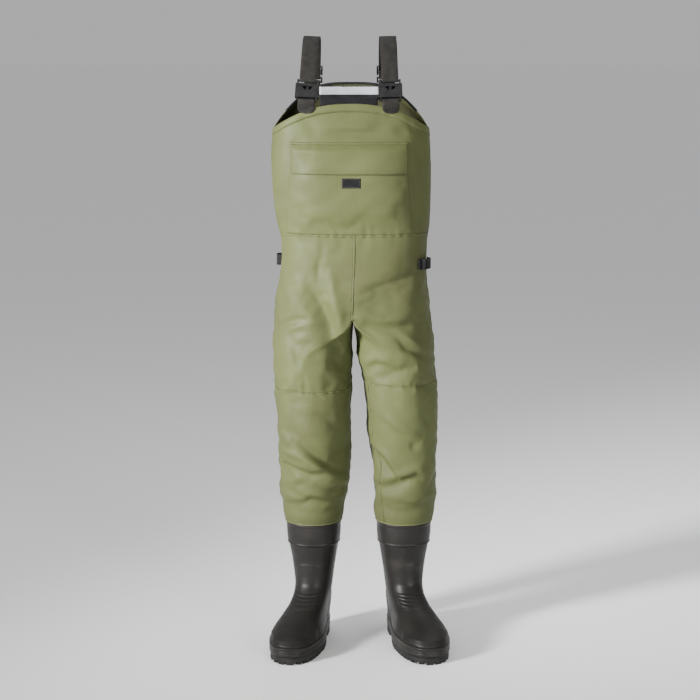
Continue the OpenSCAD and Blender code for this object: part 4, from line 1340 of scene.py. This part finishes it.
# ---- Belt loops ----
def belt_loop(name, centre, facing):
    """A strip of webbing that stands off the cloth between its two sewn ends."""
    gap, half, end = 13, 17, 28
    upper = [(gap, half - 4), (gap - 1.2, half - 1), (1.2, half + 4), (0, half + 7), (0, end)]
    path = [(u, -v) for u, v in reversed(upper)] + [(gap + 0.6, 0)] + upper
    a = math.radians(facing)
    out, along = np.array([math.cos(a), math.sin(a), 0]), np.array([-math.sin(a), math.cos(a), 0])
    line = resample([np.array(centre) + out * u + along * v for u, v in path], 2.0)
    grid = ribbon(line, np.array([0, 0, 1.0]), 26, 2)
    add_piece(name + "_belt_loop_webbing", *capped(grid), BLACK_WEB, stands_for=[name + "_belt_loop"],
              slot="black_webbing")


belt_loop("right", (-189.0, 82.2, 958), 180)
belt_loop("left", (153.9, -11.2, 958), -24)


# ---- Hard parts keep their CAD shape, with rounded edges ----
def finish_node(node, material, width, angle=35):
    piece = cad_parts[node]
    piece.data.materials.clear()
    piece.data.materials.append(material)
    round_edges(piece, width, angle)


for name in SIDES:
    for part in ("buckle_socket", "buckle_plug", "adjuster", "back_ring"):
        finish_node(f"{name}_{part}", PLASTIC, 0.7)
    for part in ("outsole", "heel_block"):
        finish_node(f"{name}_{part}", TREAD, 1.2)


# ---- Boots ----
AROUND_BOOT = 112
TURNS = np.linspace(0, 360, AROUND_BOOT, endpoint=False)


def facing(side):
    return TURNS if side < 0 else -TURNS


def rows_along(z0, z1, count):
    """Heights spaced evenly along the boot's front, so that the flat top of the foot is well covered."""
    z = np.linspace(z0, z1, 800)
    front = look(z, FOOT_FRONT)
    length = np.concatenate([[0], np.cumsum(np.hypot(np.diff(z), np.diff(front)))])
    return np.interp(np.linspace(0, length[-1], count), length, z)


def ridge(z, at, width):
    """A rounded crest of height 1."""
    return np.exp(-(((z - at) / width) ** 2))


def shell_relief(z, turn):
    """Moulded relief on the shell: a small arch at the ankle, and soft buckles where the foot bends."""
    turn = np.abs((np.asarray(turn) + 180) % 360 - 180)
    arch_z = 186 + 9 * np.cos(np.radians(turn * 2.2))
    arch = 0.9 * np.exp(-(((z - arch_z) / 2.0) ** 2)) * smooth((40 - turn) / 12)
    wave = 0.7 * np.sin(z / 7.0) * smooth((70 - turn) / 40) * smooth((z - 130) / 20) * smooth((235 - z) / 30)
    return arch + wave * 0.5


def toe_line(z, turn):
    """The moulded line that runs over the toes from side to side."""
    uf, uw = unit(turn, look(z, FOOT_SQUARE))
    back, front = look(z, FOOT_BACK), FOOT_LEN + look(z, FOOT_FRONT)
    forwards = (front + back) / 2 + (front - back) / 2 * uf
    return 1.0 * np.exp(-(((forwards - 268 + 26 * uw * uw) / 2.4) ** 2)) * smooth((z - 62) / 5)


def boot_shell(name, side):
    z = rows_along(SOLE, SHAFT_TOP, 170)[:, None]
    turns = facing(side)[None, :]
    outer = boot(side, turns, z, shell_relief(z, turns) + toe_line(z, turns))
    inner_z = mix(SOLE + 7, SHAFT_TOP, (z - SOLE) / (SHAFT_TOP - SOLE))
    inner = boot(side, turns, np.minimum(inner_z + 1.2 * RUBBER_T, SHAFT_TOP), -RUBBER_T, inner_z)
    rows, columns = outer.shape[:2]
    n = rows * columns
    points = np.concatenate([outer.reshape(-1, 3), inner.reshape(-1, 3)])
    faces_here = grid_faces(rows, columns, True)
    faces_here += [(d + n, c + n, b + n, a + n) for a, b, c, d in faces_here]
    t = (rows - 1) * columns
    for j in range(columns):
        k = (j + 1) % columns
        faces_here.append((t + j, t + k, t + k + n, t + j + n))
    faces_here.append(tuple(range(columns - 1, -1, -1)))
    faces_here.append(tuple(range(n, n + columns)))
    add_piece(name + "_boot_shell_rubber", points, faces_here, RUBBER,
              stands_for=[name + "_boot_shell"], slot="boot_rubber")


def band(name, side, z0, z1, profile, rows, node, material=RUBBER, slot="boot_rubber", inner=0.1):
    """A moulded band round the whole boot; profile gives its stand-out at each share of its height."""
    v = np.linspace(0, 1, rows)[:, None]
    z = mix(z0, z1, v)
    turns = facing(side)[None, :]
    outer = boot(side, turns, z, profile(v))
    back = boot(side, turns, z, np.full(v.shape, inner))
    return add_piece(name, *walled(outer, back, wrap=True), material, stands_for=[node], slot=slot)


def patch_on_boot(name, side, zs, first, last, relief, node, columns=60):
    """A moulded patch between two angles; relief(z, u) is its height, with u from -1 to 1 across it."""
    z = np.asarray(zs, float)[:, None]
    u = np.linspace(-1, 1, columns)[None, :]
    turns = mix(first, last, (u + 1) / 2)
    if side > 0:
        turns = -turns
    edge = smooth((1 - np.abs(u)) * 9) * smooth((z - zs[0]) / 2.5) * smooth((zs[-1] - z) / 2.5)
    outer = boot(side, turns, z, 0.15 + relief(z, u) * edge)
    inner = boot(side, turns, z, -1.0)
    add_piece(name, *walled(outer, inner), RUBBER, stands_for=[node], slot="boot_rubber")


def rand_profile(v):
    lip = 2.9 * smooth(v / 0.12) * smooth((1 - v) / 0.10)
    grooves = 0.9 * (ridge(v, 0.42, 0.045) + ridge(v, 0.62, 0.045))
    return np.maximum(lip - grooves, 0.3)


def cuff_profile(v):
    body = 2.6 * smooth(v / 0.05) * smooth((1 - v) / 0.03)
    lip = 1.3 * ridge(v, 0.06, 0.045)
    lip = lip + 1.2 * smooth((v - 0.86) / 0.05) * smooth((1 - v) / 0.03)
    return np.maximum(body + lip, 0.3)


def instep(z, u):
    """Cross ridges over the instep."""
    return 0.5 + 1.3 * sum(ridge(z, at + 3 * u * u, 1.9) for at in (103, 110, 117, 124))


def toe_arc(z, u):
    """The toe cap: a low step that ends in a rounded bead."""
    return 1.2 + 0.7 * ridge(z, 56.5, 1.6)


def heel_ribs(z, u):
    return 1.1 + 0.8 * sum(ridge(z, at, 2.2) for at in (52, 62, 72, 82, 92, 102))


for name, side in SIDES.items():
    boot_shell(name, side)
    band(name + "_rand_rubber", side, SOLE, 42, rand_profile, 26, name + "_rand")
    band(name + "_cuff_rubber", side, 245, 303.5, cuff_profile, 40, name + "_cuff_band")
    band(name + "_weld_tape", side, 305, SHAFT_TOP, lambda v: 1.2 + 0.4 * np.sin(v * 9), 12,
         name + "_weld_band", TAPE, "weld_tape")
    patch_on_boot(name + "_toe_cap_rubber", side, np.linspace(42.2, 60, 26), -64.3, 64.3, toe_arc,
                  name + "_toe_cap")
    patch_on_boot(name + "_instep_rubber", side, np.linspace(98, 128, 44), -51.4, 51.4, instep,
                  name + "_instep_pad")
    patch_on_boot(name + "_heel_counter_rubber", side, np.linspace(42.2, 112, 72), 115.7, 244.3, heel_ribs,
                  name + "_heel_counter")


def boot_inside(name, side):
    """Knitted lining round the shaft, and a soft insole."""
    z = np.linspace(144, SHAFT_TOP - 2, 30)[:, None]
    turns = facing(side)[None, :]
    ripple = 0.3 * np.sin(z / 3.0)
    outer = boot(side, turns, z, -RUBBER_T - 1.0)
    inner = boot(side, turns, z, -RUBBER_T - 2.5 + ripple)
    add_piece(name + "_boot_lining_knit", *walled(outer, inner, wrap=True), BOOT_CLOTH,
              stands_for=[name + "_boot_lining"], slot="boot_lining")
    rings = []
    for z_at, out in ((24.4, -2), (24.3, 0), (25.5, 0.6), (27.2, 0.4), (28.2, -1.2), (28.3, -5)):
        rings.append(boot(side, facing(side), np.full(AROUND_BOOT, 36.0), -RUBBER_T - 9.6 + out, z_at))
    add_piece(name + "_insole_foam", *capped(np.array(rings)), BOOT_CLOTH, stands_for=[name + "_insole"],
              slot="boot_lining")


for name, side in SIDES.items():
    boot_inside(name, side)


# ---- Stage, light and camera ----
def add_floor():
    mesh = bpy.data.meshes.new("floor")
    mesh.from_pydata([(-300, -300, 0), (300, -300, 0), (300, 300, 0), (-300, 300, 0)], [], [(0, 1, 2, 3)])
    floor = bpy.data.objects.new("floor", mesh)
    bpy.context.scene.collection.objects.link(floor)
    material, _ = new_material("pale_floor", (0.97, 0.97, 0.97), 0.8)
    mesh.materials.append(material)


def add_light(name, place_at, target, size, power, spread=180):
    light = bpy.data.lights.new(name, "AREA")
    light.shape = "RECTANGLE"
    light.size, light.size_y = size
    light.energy = power
    light.spread = math.radians(spread)
    lamp = bpy.data.objects.new(name, light)
    lamp.location = place_at
    lamp.rotation_euler = (Vector(target) - Vector(place_at)).to_track_quat("-Z", "Y").to_euler()
    bpy.context.scene.collection.objects.link(lamp)


def add_world():
    world = bpy.data.worlds.new("studio")
    bpy.context.scene.world = world
    world.use_nodes = True
    background = world.node_tree.nodes["Background"]
    background.inputs["Color"].default_value = (1.0, 1.0, 1.0, 1)
    background.inputs["Strength"].default_value = 0.5


def add_camera():
    """The photograph's view: a long lens, a little above chest height and tilted down."""
    data = bpy.data.cameras.new("camera")
    data.lens = 88.9
    data.sensor_width = 36
    camera = bpy.data.objects.new("camera", data)
    camera.location = (-0.023, -4.155, 1.45)
    camera.rotation_euler = (math.radians(90 - 9.645), 0, 0)
    bpy.context.scene.collection.objects.link(camera)
    bpy.context.scene.camera = camera


add_floor()
add_world()
add_light("key", (-3.1, -2.2, 1.7), (-0.05, 0, 0.9), (0.6, 0.9), 34, spread=36)
add_light("fill", (2.2, -3.4, 1.0), (0, 0, 0.7), (1.0, 1.4), 75)
add_light("top", (0.2, 0.6, 3.6), (0, 0, 0.8), (2.0, 2.0), 50)
add_camera()
